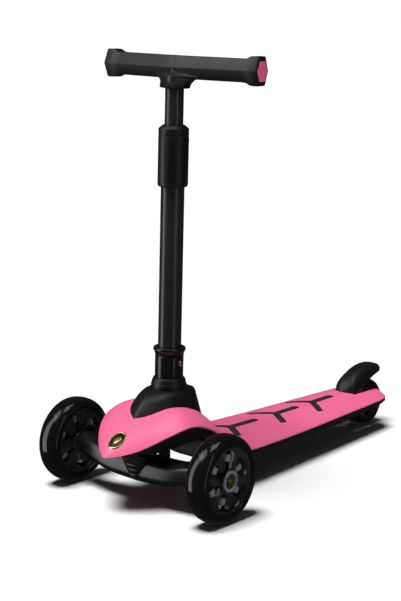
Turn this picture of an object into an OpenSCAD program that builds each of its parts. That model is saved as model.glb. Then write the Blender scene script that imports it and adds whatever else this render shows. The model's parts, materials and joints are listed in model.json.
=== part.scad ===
// Three-wheeled kick scooter for a small child, steered by leaning.
// Millimetres. +X is forward, +Y is the rider's left, +Z is up.
// The origin lies on the ground under the middle of the overall box.
// Inside the modules x = 0 is the front axle; from_axle() moves it to its place.

/* [Overall] */
// Front axle to rear axle
wheelbase = 531; // [440:1:640]
// Left wheel's middle to right wheel's middle
wheel_track = 265; // [240:1:330]
// Width of the deck behind the front wheels
deck_w = 142; // [118:1:172]
// Height of the handlebar's middle at its stored setting
bar_z = 584.6; // [560:1:704]
// How far the nose reaches ahead of the front axle
nose_reach = 82; // [74:1:99]

/* [Deck] */
// Height of the deck's crown behind the column
deck_crown_z = 64.4; // [60:0.5:70]
// How far the deck's edge lies below its crown
deck_camber = 10.9; // [6:0.1:13]
// Fall of the deck between its two ends
deck_fall = 3.6; // [0:0.2:6]
// Thickness of the moulded deck cover
cover_t = 3.4; // [2.6:0.1:4.2]
// Thickness of the chassis's floor
floor_t = 3; // [2.4:0.1:4]
// Height of the chassis's underside
floor_z = 33; // [30:0.5:36]
// Width of a grip pad's bars
pad_bar = 9.5; // [7:0.5:12]
// How far the pads stand above the deck
pad_rise = 0.8; // [0.4:0.1:1.4]

/* [Front wheels] */
// Diameter of each front wheel
front_wheel_d = 120; // [104:1:130]
// Width of each front tyre
front_tyre_w = 35; // [31:1:40]
// Diameter of the hub's rim
front_rim_d = 92; // [84:1:98]
// Diameter of the front hub cap
hub_cap_d = 31; // [28:1:37]
// Number of spokes in each front hub
spoke_count = 6; // [5:1:8]

/* [Rear wheel] */
// Diameter of the rear wheel
rear_wheel_d = 76; // [70:1:82]
// Width of the rear tyre
rear_tyre_w = 33; // [28:1:34]
// Diameter of the rear hub's rim
rear_rim_d = 52; // [44:1:58]
// Gap between the rear tyre and each cheek
cheek_gap = 4; // [2.5:0.5:5]

/* [Axles and bearings] */
// Diameter of every wheel bolt
axle_d = 8; // [6:0.5:9.6]
// Outer diameter of a wheel bearing
bearing_d = 22; // [19:1:24]
// Width of a wheel bearing
bearing_w = 7; // [5:0.5:8]
// Diameter of the steering kingpin
kingpin_d = 8; // [6:0.5:10]
// Angle of the kingpin above level
kingpin_angle = 60; // [50:1:68]
// Radial running clearance of shafts in their bores
run_gap = 0.05; // [0.02:0.01:0.08]

/* [Column] */
// How far the column stands behind the front axle
column_back = 47; // [40:1:56]
// Outer diameter of the lower tube
lower_tube_d = 31.8; // [28:0.1:34]
// Outer diameter of the upper tube
upper_tube_d = 25; // [20:0.1:26]
// Wall of both tubes
tube_wall = 1.6; // [1.2:0.1:2.2]
// Outer diameter of the neck sleeve
sleeve_d = 39; // [37:0.5:44]
// Outer diameter of the height clamp
clamp_d = 41; // [39:0.5:48]
// Height of the clamp collar
clamp_h = 82; // [68:1:98]
// Height of the clamp's lower end
clamp_z = 427; // [356:1:440]
// Diameter of the release button
button_d = 7.5; // [6:0.5:9]

/* [Handlebar] */
// Length of the handlebar, end to end
bar_len = 262; // [218:1:300]
// Height of the grip's six-sided section
grip_h = 30; // [26:0.5:34]
// Depth of the grip's section, front to back
grip_w = 28.5; // [25:0.5:34]
// Height of the flange at each grip's end
flange_h = 38; // [34:0.5:44]
// Length of each flange
flange_len = 19; // [14:1:24]
// Sweep of each half towards the rider
bar_sweep = 4.7; // [0:0.1:8]
// How far the bar stands behind the column
bar_back = 7.5; // [4:0.5:9]

/* [Rear brake] */
// Outside width of the brake fender
fender_w = 39; // [32:0.5:40]
// Height of the fender's crest
fender_top_z = 99.5; // [94:0.5:106]
// Thickness of the fender's skin
fender_t = 2.6; // [2.2:0.1:3.4]
// Gap between the brake block and the tyre
brake_gap = 2.5; // [1.5:0.5:4]

/* [Hidden] */
$fn = 64;

// Colours
pink = [0.98, 0.44, 0.62];
deep_pink = [0.74, 0.32, 0.46];
gloss_black = [0.06, 0.06, 0.07];
satin_black = [0.12, 0.12, 0.13];
tube_grey = [0.20, 0.20, 0.21];
pad_grey = [0.24, 0.26, 0.26];
smoke = [0.10, 0.10, 0.11];
steel = [0.70, 0.71, 0.73];
pale = [0.82, 0.84, 0.86];
gold = [0.80, 0.62, 0.22];

// Clearances: parts pressed together touch, loose parts keep loose_gap
loose_gap = 0.4;
slip_gap = 0.1;
seat_gap = 0.42;
eps = 0.01;

// Overall box
front_r = front_wheel_d / 2;
rear_r = rear_wheel_d / 2;
rear_reach = wheelbase + rear_r;
front_axle_x = (rear_reach - nose_reach) / 2;
half_track = wheel_track / 2;

module from_axle() translate([front_axle_x, 0, 0]) children();

// ---- Curves and lofted skins ----

// Smooth curve through [x, value] pairs that are sorted by x
function span_of(t, x, i = 0) = i >= len(t) - 2 || x <= t[i + 1][0] ? i : span_of(t, x, i + 1);
function slope_at(t, i) =
    let(a = max(i - 1, 0), b = min(i + 1, len(t) - 1)) (t[b][1] - t[a][1]) / (t[b][0] - t[a][0]);
function curve(t, x) =
    let(i = span_of(t, x), h = t[i + 1][0] - t[i][0], u = (x - t[i][0]) / h)
    (2 * u ^ 3 - 3 * u ^ 2 + 1) * t[i][1] + (u ^ 3 - 2 * u ^ 2 + u) * slope_at(t, i) * h
    + (3 * u ^ 2 - 2 * u ^ 3) * t[i + 1][1] + (u ^ 3 - u ^ 2) * slope_at(t, i + 1) * h;

// Closed solid between rings of equal length, capped at both ends
module loft(rings) {
    n = len(rings[0]);
    m = len(rings);
    sides = [for (i = [0 : m - 2]) for (j = [0 : n - 1]) each
        [[i * n + j, i * n + (j + 1) % n, (i + 1) * n + (j + 1) % n],
         [i * n + j, (i + 1) * n + (j + 1) % n, (i + 1) * n + j]]];
    caps = [[for (j = [n - 1 : -1 : 0]) j], [for (j = [0 : n - 1]) (m - 1) * n + j]];
    polyhedron(points = [for (r = rings) each r], faces = concat(sides, caps), convexity = 8);
}

// Ring of one cross section: over the top from right to left, back underneath.
// top and low are functions of the share s of the half width, from -1 to 1.
function section(x, half, top, low, count) =
    let(s = [for (j = [0 : count]) -cos(180 * j / count)])
    concat([for (v = s) [x, v * half, top(v)]],
           [for (j = [count : -1 : 0]) [x, s[j] * half, low(s[j])]]);

// Stations from a to b, closer together towards b when bias is above 1
function stations(a, b, count, bias = 1) =
    [for (i = [0 : count]) a + (b - a) * (1 - (1 - i / count) ^ bias)];

// Helical wire along +Z
module coil(r, wire_r, height, turns, sides = 8, steps = 14) {
    pitch = (height - 2 * wire_r) / turns;
    loft([for (i = [0 : turns * steps])
        let(a = 360 * i / steps, z = wire_r + pitch * i / steps)
        [for (k = [0 : sides - 1])
            let(b = 360 * k / sides, d = r + wire_r * cos(b))
            [d * cos(a), d * sin(a), z + wire_r * sin(b)]]]);
}

// ---- Deck surface ----

deck_tail = -wheelbase - 15;
deck_front = -150;
edge_z0 = deck_crown_z - deck_camber;
arch_top_z = 114.5;
crest_z = 135;
nose_z = 78.5;
nose_blend_x = -25;

edge_line = [
    [deck_tail, edge_z0 - deck_fall / 2], [deck_front, edge_z0 + deck_fall / 2],
    [-110, 68], [-65, 99], [-18, arch_top_z], [20, 106.5], [nose_reach - 22, 86],
    [nose_reach, nose_z - 1]
];
crest_line = [
    [deck_tail, deck_crown_z - deck_fall / 2], [deck_front, deck_crown_z + deck_fall / 2],
    [-120, 77], [-90, 104], [-60, 126], [-15, crest_z], [26, 118.7], [nose_reach - 30, 103],
    [nose_reach - 14, 92.5], [nose_reach - 4, 83.5], [nose_reach, nose_z]
];
tail_w = deck_w / 2 * 0.65;
plan_line = [
    [deck_tail, tail_w * 0.62], [deck_tail + 4, tail_w * 0.82], [deck_tail + 13, tail_w * 0.95],
    [deck_tail + 40, tail_w * 1.03], [-340, deck_w / 2 * 0.83], [-200, deck_w / 2 * 0.95],
    [-140, deck_w / 2 * 0.99], [-80, deck_w / 2], [nose_blend_x, deck_w / 2]
];
function plan_half(x) =
    x > nose_blend_x
    ? deck_w / 2 * sin(90 * max((nose_reach - x) / (nose_reach - nose_blend_x), 0.0003) ^ 0.8)
    : curve(plan_line, x);
function crown_power(x) = x > -120 ? 3 : 2.4;
function deck_z(x, s) =
    curve(edge_line, x)
    + (curve(crest_line, x) - curve(edge_line, x)) * (1 - abs(s) ^ crown_power(x));

cover_x = concat(stations(deck_tail, deck_tail + 40, 6, 0.6), stations(deck_tail + 80, -170, 7),
                 stations(-150, 40, 19), stations(46, nose_reach, 9, 1.8));

// Layer that follows the deck's surface between two offsets
module deck_layer(low, high, xs = cover_x, count = 26)
    loft([for (x = xs) section(x, plan_half(x), function(s) deck_z(x, s) + high,
                               function(s) deck_z(x, s) + low, count)]);

// ---- Places of the main pieces ----

column_x = -column_back;
wheel_slot_half = rear_tyre_w / 2 + cheek_gap;
fender_barrel_r = 5.5;
fender_pin_x = -wheelbase + rear_r + 6;
slot_front_x = fender_pin_x + fender_barrel_r + 2;
cheek_t = 8;
fender_pin_z = deck_crown_z - 12.6;
fender_pin_d = 5;

boot_foot_z = 100;
boot_top_z = 157;
boot_wall = 2.6;
sleeve_foot_z = 76;
sleeve_top_z = 200;

// Outline of the boot, level by level: [front x, rear x, half width, corner radius]
boot_foot = [30, -93, 46, 30];
boot_waist = [9, -86, 36, 24];
boot_head = [-14, -77, 26, 15];

module rounded_plan(size, h)
    linear_extrude(h)
        hull() for (x = [size[0] - size[3], size[1] + size[3]])
            for (y = [-1, 1]) translate([x, y * (size[2] - size[3])]) circle(size[3], $fn = 32);

module boot_solid(grow, high = boot_top_z) {
    hull() {
        translate([0, 0, boot_foot_z]) rounded_plan(boot_foot + [grow, -grow, grow, grow], eps);
        translate([0, 0, high - 26]) rounded_plan(boot_waist + [grow, -grow, grow, grow], eps);
        translate([0, 0, high - eps]) rounded_plan(boot_head + [grow, -grow, grow, grow], eps);
    }
    translate([0, 0, boot_foot_z - 12]) rounded_plan(boot_foot + [grow, -grow, grow, grow], 12);
}

// ---- Deck ----

pad_layer = 1.4;
pad_place = [for (share = [0.354, 0.5593, 0.7363]) -wheelbase * share];
pad_arm = [25, 35];
pad_stem = [61, 55, 53];

// Outline of one pad: a bar to the rear and two arms to the front
module pad_outline(stem) {
    w = pad_bar / 2;
    polygon([
        [-stem, w * 0.7], [-stem + w * 0.5, w], [-w * 0.4, w],
        [pad_arm[0] - w, pad_arm[1]], [pad_arm[0] + w * 0.9, pad_arm[1] - w * 0.6],
        [w * 1.2, 0],
        [pad_arm[0] + w * 0.9, -pad_arm[1] + w * 0.6], [pad_arm[0] - w, -pad_arm[1]],
        [-w * 0.4, -w], [-stem + w * 0.5, -w], [-stem, -w * 0.7]
    ]);
}

module pad_prism(i)
    translate([pad_place[i], 0, 40]) linear_extrude(60) pad_outline(pad_stem[i]);

module pad_span(i, low, high)
    deck_layer(low, high, stations(pad_place[i] - 70, pad_place[i] + 36, 6), 14);

module grip_pad(i)
    color(pad_grey) from_axle() intersection() {
        pad_prism(i);
        pad_span(i, -pad_layer, pad_rise);
    }

module wheel_slot(grow = 0)
    translate([deck_tail - 30, -wheel_slot_half - grow, 0])
        cube([slot_front_x + grow - deck_tail + 30, 2 * (wheel_slot_half + grow), 120]);

module deck_cover()
    color(pink) from_axle() difference() {
        deck_layer(-cover_t, 0);
        boot_solid(loose_gap);
        wheel_slot();
        for (i = [0 : 2]) intersection() {
            pad_prism(i);
            pad_span(i, -pad_layer, 6);
        }
    }

// Chassis skin: a keel under the deck that rises to a tub under the front arch
tub_floor_z = 74;
tub_half = 52;
skin_front = 46;
floor_line = [
    [deck_tail, floor_z + 8], [deck_tail + 60, floor_z + 1], [deck_tail + 95, floor_z],
    [deck_tail + 130, floor_z], [-250, floor_z], [-215, floor_z + 1], [-190, floor_z + 5],
    [-130, 55], [-96, tub_floor_z], [0, tub_floor_z], [28, tub_floor_z + 1], [skin_front, tub_floor_z + 12]
];
skin_plan = [
    [-150, 1], [-122, 0.82], [-90, tub_half / plan_half(-90)], [0, tub_half / plan_half(0)],
    [skin_front, 0.8]
];
function skin_share(x) = x < -150 ? 1 - 0.6 / plan_half(x) : curve(skin_plan, x) - 0.01;
function rim_z(x) = deck_z(x, skin_share(x)) - cover_t - seat_gap;
function floor_under(x, s) =
    let(low = curve(floor_line, x)) low + (rim_z(x) - floor_t - low) * abs(s) ^ 8;
skin_x = concat(stations(deck_tail + 1, deck_tail + 40, 5, 0.7),
                stations(deck_tail + 90, -170, 6), stations(-150, skin_front, 16));
module chassis_skin()
    loft([for (x = skin_x) section(x, plan_half(x) * skin_share(x),
        function(s) floor_under(x, s) + floor_t, function(s) floor_under(x, s), 20)]);

kingpin_z = 47;
hub_half = 14;
washer_t = 1.6;
pivot_boss_r = 19;
pivot_seat = hub_half + washer_t;
kingpin_reach = 26;
module on_kingpin(s) translate([0, 0, kingpin_z]) rotate([0, 90 - kingpin_angle, 0])
    translate([0, 0, s]) children();

cheek_r = 12;
module cheek(side)
    translate([0, side * (wheel_slot_half + cheek_t / 2), 0]) rotate([90, 0, 0])
        linear_extrude(cheek_t, center = true) hull() {
            translate([-wheelbase, rear_r]) circle(cheek_r);
            translate([fender_pin_x, fender_pin_z]) circle(4.2);
            translate([slot_front_x + 10, floor_z + 8]) circle(4);
        }

screw_x = [slot_front_x - 0.5, slot_front_x / 2 - 60, -165];
screw_r = 2;
post_r = 5;
function screw_y(x) = plan_half(x) * 0.7;
module at_screws()
    for (x = screw_x) for (side = [-1, 1]) translate([x, side * screw_y(x), 0]) children();
module post(x)
    translate([0, 0, floor_z + 1])
        cylinder(r = post_r, h = deck_z(x, (screw_y(x) + post_r) / plan_half(x)) - cover_t - floor_z - 1.5);

belly_len = wheelbase * 0.339;
belly_w = 56;
belly_x = slot_front_x + 59.5 + belly_len / 2;
belly_drop = 2;

module chassis()
    color(satin_black) from_axle() difference() {
        union() {
            difference() {
                chassis_skin();
                wheel_slot();
                // Room for the heads of the rear axle
                at_rear(-60) cylinder(d = axle_d * 1.6 + 4, h = 120);
            }
            cheek(1);
            cheek(-1);
            // Wall at the front of the wheel slot
            translate([slot_front_x + 0.5, -wheel_slot_half - 3, floor_z + 4])
                cube([5, 2 * wheel_slot_half + 6, deck_crown_z - cover_t - floor_z - 8]);
            on_kingpin(pivot_seat) cylinder(r = pivot_boss_r, h = 34);
            // Socket for the neck sleeve
            translate([column_x, 0, sleeve_foot_z - 4]) cylinder(d = sleeve_d + 8, h = 30);
            for (x = screw_x) for (side = [-1, 1]) translate([x, side * screw_y(x), 0]) post(x);
            // Flat rest under the middle of the deck
            translate([belly_x - belly_len / 2, -belly_w / 2, floor_z - belly_drop])
                cube([belly_len, belly_w, belly_drop + 2]);
        }
        on_kingpin(pivot_seat - 1) cylinder(d = kingpin_d, h = kingpin_reach);
        translate([column_x, 0, sleeve_foot_z]) cylinder(d = sleeve_d, h = 80);
        translate([-wheelbase, -60, rear_r]) rotate([-90, 0, 0]) cylinder(d = axle_d, h = 120);
        translate([fender_pin_x, -60, fender_pin_z]) rotate([-90, 0, 0])
            cylinder(d = fender_pin_d, h = 120);
        at_screws() translate([0, 0, floor_z - 5]) cylinder(r = screw_r, h = screw_len + 5);
        at_screws() translate([0, 0, floor_z - 10]) cylinder(r = 2 * screw_r, h = 12);
    }

screw_len = 16;
module cover_screws()
    color(steel) from_axle() at_screws() {
        translate([0, 0, floor_z]) cylinder(r = 2 * screw_r - slip_gap, h = 2);
        translate([0, 0, floor_z + 2 - eps]) cylinder(r = screw_r, h = screw_len - 2);
    }

// Plain oval emblem on the nose
badge_x = nose_reach - 22;
module nose_badge()
    color(gold) from_axle() intersection() {
        translate([badge_x, 0, 60]) scale([0.8, 1, 1]) linear_extrude(80) circle(11);
        deck_layer(eps, 1.2, stations(badge_x - 12, badge_x + 12, 8), 26);
    }

// ---- Column ----

neck_bore_d = lower_tube_d + 2 * slip_gap;

module column_boot()
    color(satin_black) from_axle() difference() {
        boot_solid(0);
        boot_solid(-boot_wall, boot_top_z - 3);
        translate([-200, -100, boot_foot_z - 20]) cube([300, 200, 20]);
        translate([column_x, 0, boot_foot_z - 2]) cylinder(d = sleeve_d, h = 90);
    }

module neck_sleeve()
    color(gloss_black) from_axle() difference() {
        translate([column_x, 0, sleeve_foot_z]) cylinder(d = sleeve_d, h = sleeve_top_z - sleeve_foot_z);
        translate([column_x, 0, sleeve_foot_z + 4]) cylinder(d = neck_bore_d, h = 200);
        translate([column_x, 0, button_z]) rotate([-90, 0, 0])
            cylinder(d = button_d + 2 * slip_gap, h = 40);
    }

module neck_collar()
    color(satin_black) from_axle() translate([column_x, 0, boot_top_z])
        rotate_extrude() polygon([
            [sleeve_d / 2, 0], [sleeve_d / 2 + 5, 0], [sleeve_d / 2 + 5, 5.5],
            [sleeve_d / 2 + 4.2, 7.5], [sleeve_d / 2 + 1.6, 11], [sleeve_d / 2, 11]
        ]);

ring_h = 8;
module neck_ring()
    color(gloss_black) from_axle() translate([column_x, 0, sleeve_top_z])
        rotate_extrude() polygon([
            [neck_bore_d / 2, 0], [sleeve_d / 2, 0], [sleeve_d / 2 + 2.6, 3.6],
            [sleeve_d / 2 + 2.6, 6], [sleeve_d / 2 + 1.4, ring_h - 0.8],
            [sleeve_d / 2 - 0.5, ring_h], [neck_bore_d / 2, ring_h]
        ]);

button_z = 187;
button_flange_d = button_d + 3;
tube_bore_r = lower_tube_d / 2 - tube_wall;
button_in = sqrt((tube_bore_r - loose_gap) ^ 2 - (button_flange_d / 2) ^ 2);
spring_r = button_d / 2 - 0.5;
spring_foot = sqrt(tube_bore_r ^ 2 - (spring_r + 0.5) ^ 2);
module release_button()
    color(steel) from_axle() translate([column_x, 0, button_z]) rotate([-90, 0, 0]) {
        translate([0, 0, button_in]) cylinder(d = button_d, h = sleeve_d / 2 - button_in + 1);
        translate([0, 0, sleeve_d / 2 + 1 - eps]) cylinder(d1 = button_d, d2 = button_d - 2, h = 1.6);
        translate([0, 0, button_in - 2]) cylinder(d = button_flange_d, h = 2);
    }

module button_spring()
    color(steel) from_axle() translate([column_x, 0, button_z]) rotate([-90, 0, 0])
        translate([0, 0, -spring_foot]) coil(spring_r, 0.5, spring_foot + button_in - 2, 7);

lower_top_z = clamp_z + 43;
module tube(d, low, high)
    translate([column_x, 0, low]) difference() {
        cylinder(d = d, h = high - low);
        translate([0, 0, -1]) cylinder(d = d - 2 * tube_wall, h = high - low + 2);
    }

module lower_tube()
    color(tube_grey) from_axle() difference() {
        tube(lower_tube_d, sleeve_foot_z + 4, lower_top_z);
        translate([column_x, 0, button_z]) rotate([-90, 0, 0])
            cylinder(d = button_d + 2 * slip_gap, h = 40);
    }

bushing_h = 28;
flange_t = 3;
module tube_bushing()
    color(satin_black) from_axle() difference() {
        union() {
            translate([column_x, 0, lower_top_z - bushing_h])
                cylinder(d = lower_tube_d - 2 * tube_wall, h = bushing_h + eps);
            translate([column_x, 0, lower_top_z]) cylinder(d = lower_tube_d, h = flange_t);
        }
        translate([column_x, 0, lower_top_z - bushing_h - 1])
            cylinder(d = upper_tube_d + 2 * run_gap, h = bushing_h + flange_t + 2);
    }

// Rear lugs, bolt and lever of the height clamp
lug_z = clamp_z + clamp_h - 22;
lug_reach = clamp_d / 2 + 5;
clamp_bolt_d = 4;
clamp_bolt_x = column_x - clamp_d / 2 - 1.3;
bolt_head_d = 6.6;
bolt_head_t = 2.4;
lug_left = 4;
lug_right = -8.6;
clamp_slit = 2;
module clamp_collar()
    color(satin_black) from_axle() difference() {
        union() {
            translate([column_x, 0, clamp_z]) rotate_extrude() polygon([
                [0, 0], [clamp_d / 2 - 1.6, 0], [clamp_d / 2, 2.2], [clamp_d / 2, clamp_h - 6],
                [clamp_d / 2 - 4.6, clamp_h], [0, clamp_h]
            ]);
            translate([column_x - lug_reach, lug_right, lug_z - 8])
                cube([10, lug_left - lug_right, 16]);
        }
        translate([column_x, 0, clamp_z - 1])
            cylinder(d = lower_tube_d, h = lower_top_z + flange_t - clamp_z + 1);
        translate([column_x, 0, clamp_z])
            cylinder(d = upper_tube_d + 2 * loose_gap, h = clamp_h + 10);
        translate([column_x - 40, -clamp_slit / 2, clamp_z + 30])
            cube([40, clamp_slit, clamp_h]);
        translate([clamp_bolt_x, -30, lug_z]) rotate([-90, 0, 0])
            cylinder(d = clamp_bolt_d, h = 60);
        translate([clamp_bolt_x, lug_left, lug_z]) rotate([-90, 0, 0])
            cylinder(d = bolt_head_d + 0.4, h = 30);
    }

lever_t = 5;
lever_w = 7.6;
lever_pin_y = lug_right - 0.5 - lever_t / 2 - 1.4;
lever_len = 52;
lever_plate_t = 3.8;
lever_pin_d = 2.4;
lever_gap = 0.4;
module clamp_bolt()
    color(steel) from_axle() difference() {
        translate([clamp_bolt_x, 0, lug_z]) rotate([-90, 0, 0]) {
            translate([0, 0, lever_pin_y - 2.2])
                cylinder(d = clamp_bolt_d, h = lug_left - lever_pin_y + 2.2);
            translate([0, 0, lug_left - eps]) cylinder(d = bolt_head_d, h = bolt_head_t);
        }
        at_lever_pin(-lever_w) cylinder(d = lever_pin_d, h = 2 * lever_w);
    }

// Along the lever's pin: z runs forwards from the bolt's axis
module at_lever_pin(z)
    translate([clamp_bolt_x, lever_pin_y, lug_z]) rotate([0, 90, 0]) translate([0, 0, z]) children();

module lever_pin()
    color(steel) from_axle() at_lever_pin(-lever_w / 2) cylinder(d = lever_pin_d, h = lever_w);

module clamp_lever()
    color(satin_black) from_axle() difference() {
        union() {
            at_lever_pin(-lever_w / 2) cylinder(d = lever_t, h = lever_w);
            translate([clamp_bolt_x - lever_w / 2, lever_pin_y - lever_t / 2, lug_z - lever_len]) {
                cube([lever_w, lever_plate_t, lever_len]);
                translate([lever_w / 2, 0, 0]) rotate([-90, 0, 0])
                    cylinder(d = lever_w, h = lever_plate_t);
            }
        }
        // Slot for the bolt's eye
        translate([clamp_bolt_x - clamp_bolt_d / 2 - lever_gap, lever_pin_y - 10, lug_z - 6])
            cube([clamp_bolt_d + 2 * lever_gap, 20, 20]);
        at_lever_pin(-20) cylinder(d = lever_pin_d + 2 * run_gap, h = 40);
    }

// ---- Handlebar ----

boss_foot_z = bar_z - 27.5;
upper_foot_z = clamp_z - 130;
core_d = 18;
bar_x = column_x - bar_back;
upper_top_z = bar_z - core_d / 2 - 2;
arm_start = 22;

module upper_tube() color(tube_grey) from_axle() tube(upper_tube_d, upper_foot_z, upper_top_z);

module tube_foot()
    color(satin_black) from_axle() translate([column_x, 0, upper_foot_z - 18]) {
        cylinder(d = lower_tube_d - 2 * tube_wall - 2 * loose_gap, h = 18);
        translate([0, 0, 18 - eps]) cylinder(d = upper_tube_d - 2 * tube_wall, h = 14);
    }

// Six-sided bar section in the XZ plane, flats above and below
module bar_section(w, h)
    polygon([[w / 2, 0], [w * 0.26, h / 2], [-w * 0.26, h / 2], [-w / 2, 0], [-w * 0.26, -h / 2],
             [w * 0.26, -h / 2]]);

// Along one arm of the bar: y runs outwards from the middle
module on_arm(side, y)
    translate([bar_x, 0, bar_z]) mirror([0, side < 0 ? 1 : 0, 0]) rotate([0, 0, bar_sweep])
        translate([0, y, 0]) rotate([90, 0, 0]) children();
module arm_length(y0, y1, side, w, h)
    on_arm(side, y1) linear_extrude(y1 - y0) bar_section(w, h);

module bar_core()
    color(steel) from_axle() for (side = [-1, 1])
        on_arm(side, bar_len / 2 - 6) cylinder(d = core_d, h = bar_len / 2 - 6);

module bar_boss()
    color(satin_black) from_axle() difference() {
        hull() {
            for (side = [-1, 1]) arm_length(arm_start - 2, arm_start, side, grip_w, grip_h);
            translate([bar_x, 0, bar_z - grip_h / 2]) rounded_plan([17, -15, 18, 8], grip_h);
            translate([column_x, 0, boss_foot_z]) cylinder(r = upper_tube_d / 2 + 6, h = 2);
        }
        translate([column_x, 0, boss_foot_z - 1])
            cylinder(d = upper_tube_d, h = upper_top_z - boss_foot_z + 1);
        for (side = [-1, 1]) on_arm(side, 60) cylinder(d = core_d, h = 60);
        translate([column_x - 40, 0, bar_z - 20]) rotate([0, 90, 0]) cylinder(d = 4, h = 40);
    }

module boss_screw()
    color(steel) from_axle() translate([column_x - 18, 0, bar_z - 20]) rotate([0, 90, 0])
        cylinder(d = 4 - 2 * eps, h = 18 - upper_tube_d / 2);

module grip(side)
    color(satin_black) from_axle() {
        end_y = bar_len / 2;
        difference() {
            union() {
                arm_length(arm_start, end_y - flange_len, side, grip_w, grip_h);
                hull() {
                    arm_length(end_y - flange_len - eps, end_y - flange_len, side, grip_w, grip_h);
                    arm_length(end_y - flange_len + 5, end_y - 1.5, side, grip_w + 1, flange_h);
                    arm_length(end_y - 1.5, end_y, side, grip_w - 1, flange_h - 3);
                }
            }
            on_arm(side, end_y - 6) cylinder(d = core_d, h = end_y);
            on_arm(side, end_y + 1) linear_extrude(7) bar_section(cap_w, cap_h);
        }
    }

cap_w = 22;
cap_h = 25;
module end_cap(side)
    color(deep_pink) from_axle() arm_length(bar_len / 2 - 6, bar_len / 2 + 0.6, side, cap_w, cap_h);

// ---- Front beam ----

beam_mid_z = 44;
arm_out = half_track - front_tyre_w / 2 - 3;
// [y, middle z, half height, half depth]
beam_line_z = [[0, beam_mid_z], [arm_out * 0.45, beam_mid_z + 2.5], [arm_out * 0.8, front_r - 5],
               [arm_out, front_r]];
beam_line_h = [[0, 14], [arm_out * 0.5, 13], [arm_out, 16]];
beam_line_d = [[0, 23], [arm_out * 0.5, 22], [arm_out, 16]];

module axle_beam()
    color(gloss_black) from_axle() difference() {
        union() {
            loft([for (y = stations(-arm_out, arm_out, 22))
                let(a = abs(y), z = curve(beam_line_z, a), h = curve(beam_line_h, a),
                    d = curve(beam_line_d, a))
                [for (k = [0 : 19]) let(t = 18 * k, c = cos(t), s = sin(t))
                    [d * sign(c) * abs(c) ^ 0.6, y, z + h * sign(s) * abs(s) ^ 0.6]]]);
            on_kingpin(-hub_half) cylinder(r = 18, h = 2 * hub_half);
            for (side = [-1, 1]) at_wheel(side, -arm_end - 8) cylinder(r = 16, h = 8);
        }
        on_kingpin(-40) cylinder(d = bush_d, h = 40 + hub_half + 1);
        on_kingpin(hub_half) cylinder(r = 30, h = 40);
        on_kingpin(-hub_half - 40) cylinder(r = 20, h = 40);
        for (side = [-1, 1]) at_wheel(side, -arm_end - 30) cylinder(d = axle_d, h = 60);
    }

// Ribbed cover in front of the beam's pivot
module beam_fairing()
    color(satin_black) from_axle() difference() {
        hull() {
            translate([18, -22, beam_mid_z + 20]) cube([14, 44, 6]);
            translate([16, -13, beam_mid_z - 6]) cube([10, 26, 4]);
        }
        for (k = [0 : 3]) translate([24 + k * 1.6, -16 - k * 1.5, beam_mid_z - 1 + 6 * k])
            cube([20, 32 + 3 * k, 2]);
        loft([for (y = stations(-30, 30, 6))
            let(a = abs(y), z = curve(beam_line_z, a), h = curve(beam_line_h, a),
                d = curve(beam_line_d, a))
            [for (k = [0 : 19]) let(t = 18 * k, c = cos(t), s = sin(t))
                [d * sign(c) * abs(c) ^ 0.6, y, z + h * sign(s) * abs(s) ^ 0.6]]]);
        on_kingpin(-hub_half) cylinder(r = 18, h = 2 * hub_half);
        on_kingpin(hub_half) cylinder(r = pivot_boss_r + 2, h = 60);
    }

bush_d = kingpin_d + 4;
module kingpin_bushes()
    color(gold) from_axle() difference() {
        union() {
            on_kingpin(-hub_half) cylinder(d = bush_d, h = 10);
            on_kingpin(hub_half - 10) cylinder(d = bush_d, h = 10);
        }
        on_kingpin(-hub_half - 1) cylinder(d = kingpin_d + 2 * run_gap, h = 2 * hub_half + 2);
    }

kingpin_head_t = 4;
module kingpin()
    color(steel) from_axle() {
        on_kingpin(-hub_half - loose_gap - kingpin_head_t)
            cylinder(d = kingpin_d * 1.6, h = kingpin_head_t, $fn = 6);
        on_kingpin(-hub_half - loose_gap - eps)
            cylinder(d = kingpin_d, h = 2 * hub_half + loose_gap + washer_t + kingpin_reach - 2);
    }

module thrust_washer()
    color(steel) from_axle() difference() {
        on_kingpin(hub_half + 0.3) cylinder(d = kingpin_d + 12, h = washer_t - 0.3);
        on_kingpin(hub_half) cylinder(d = kingpin_d, h = 3);
    }

buffer_r = 8;
buffer_y = 27;
buffer_foot_z = 61;
module steering_buffers()
    color(satin_black) from_axle() for (side = [-1, 1])
        translate([-9, side * buffer_y, buffer_foot_z])
            cylinder(r = buffer_r, h = tub_floor_z - buffer_foot_z);

// ---- Wheels ----

// Wheel axis: z runs outwards from the wheel's middle plane
module at_wheel(side, z)
    translate([0, side * half_track, front_r]) rotate([side > 0 ? -90 : 90, 0, 0])
        translate([0, 0, z]) children();

arm_end = front_tyre_w / 2 + 3;
boss_r = hub_cap_d / 2;
boss_in = front_tyre_w / 2 - 3.5;
boss_out = front_tyre_w / 2 - 5.5;
head_t = 2.6;

// Tyre section with a round crown and a flat seat on the rim
module tyre_ring(r, rim, w, crown)
    rotate_extrude() intersection() {
        translate([rim, -w / 2]) square([r - rim, w]);
        union() {
            translate([0, -w / 2 + 1]) square([r - crown, w - 2]);
            translate([0, -w / 2]) square([r - crown - 2.5, w]);
            intersection() {
                translate([r - 1.15 * w, 0]) circle(1.15 * w);
                translate([r - crown - eps, -w / 2 + 1]) square([crown + eps, w - 2]);
            }
        }
    }

module front_tyre(side) color(smoke) from_axle() at_wheel(side, 0)
    tyre_ring(front_r, front_rim_d / 2, front_tyre_w, 6);

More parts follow.
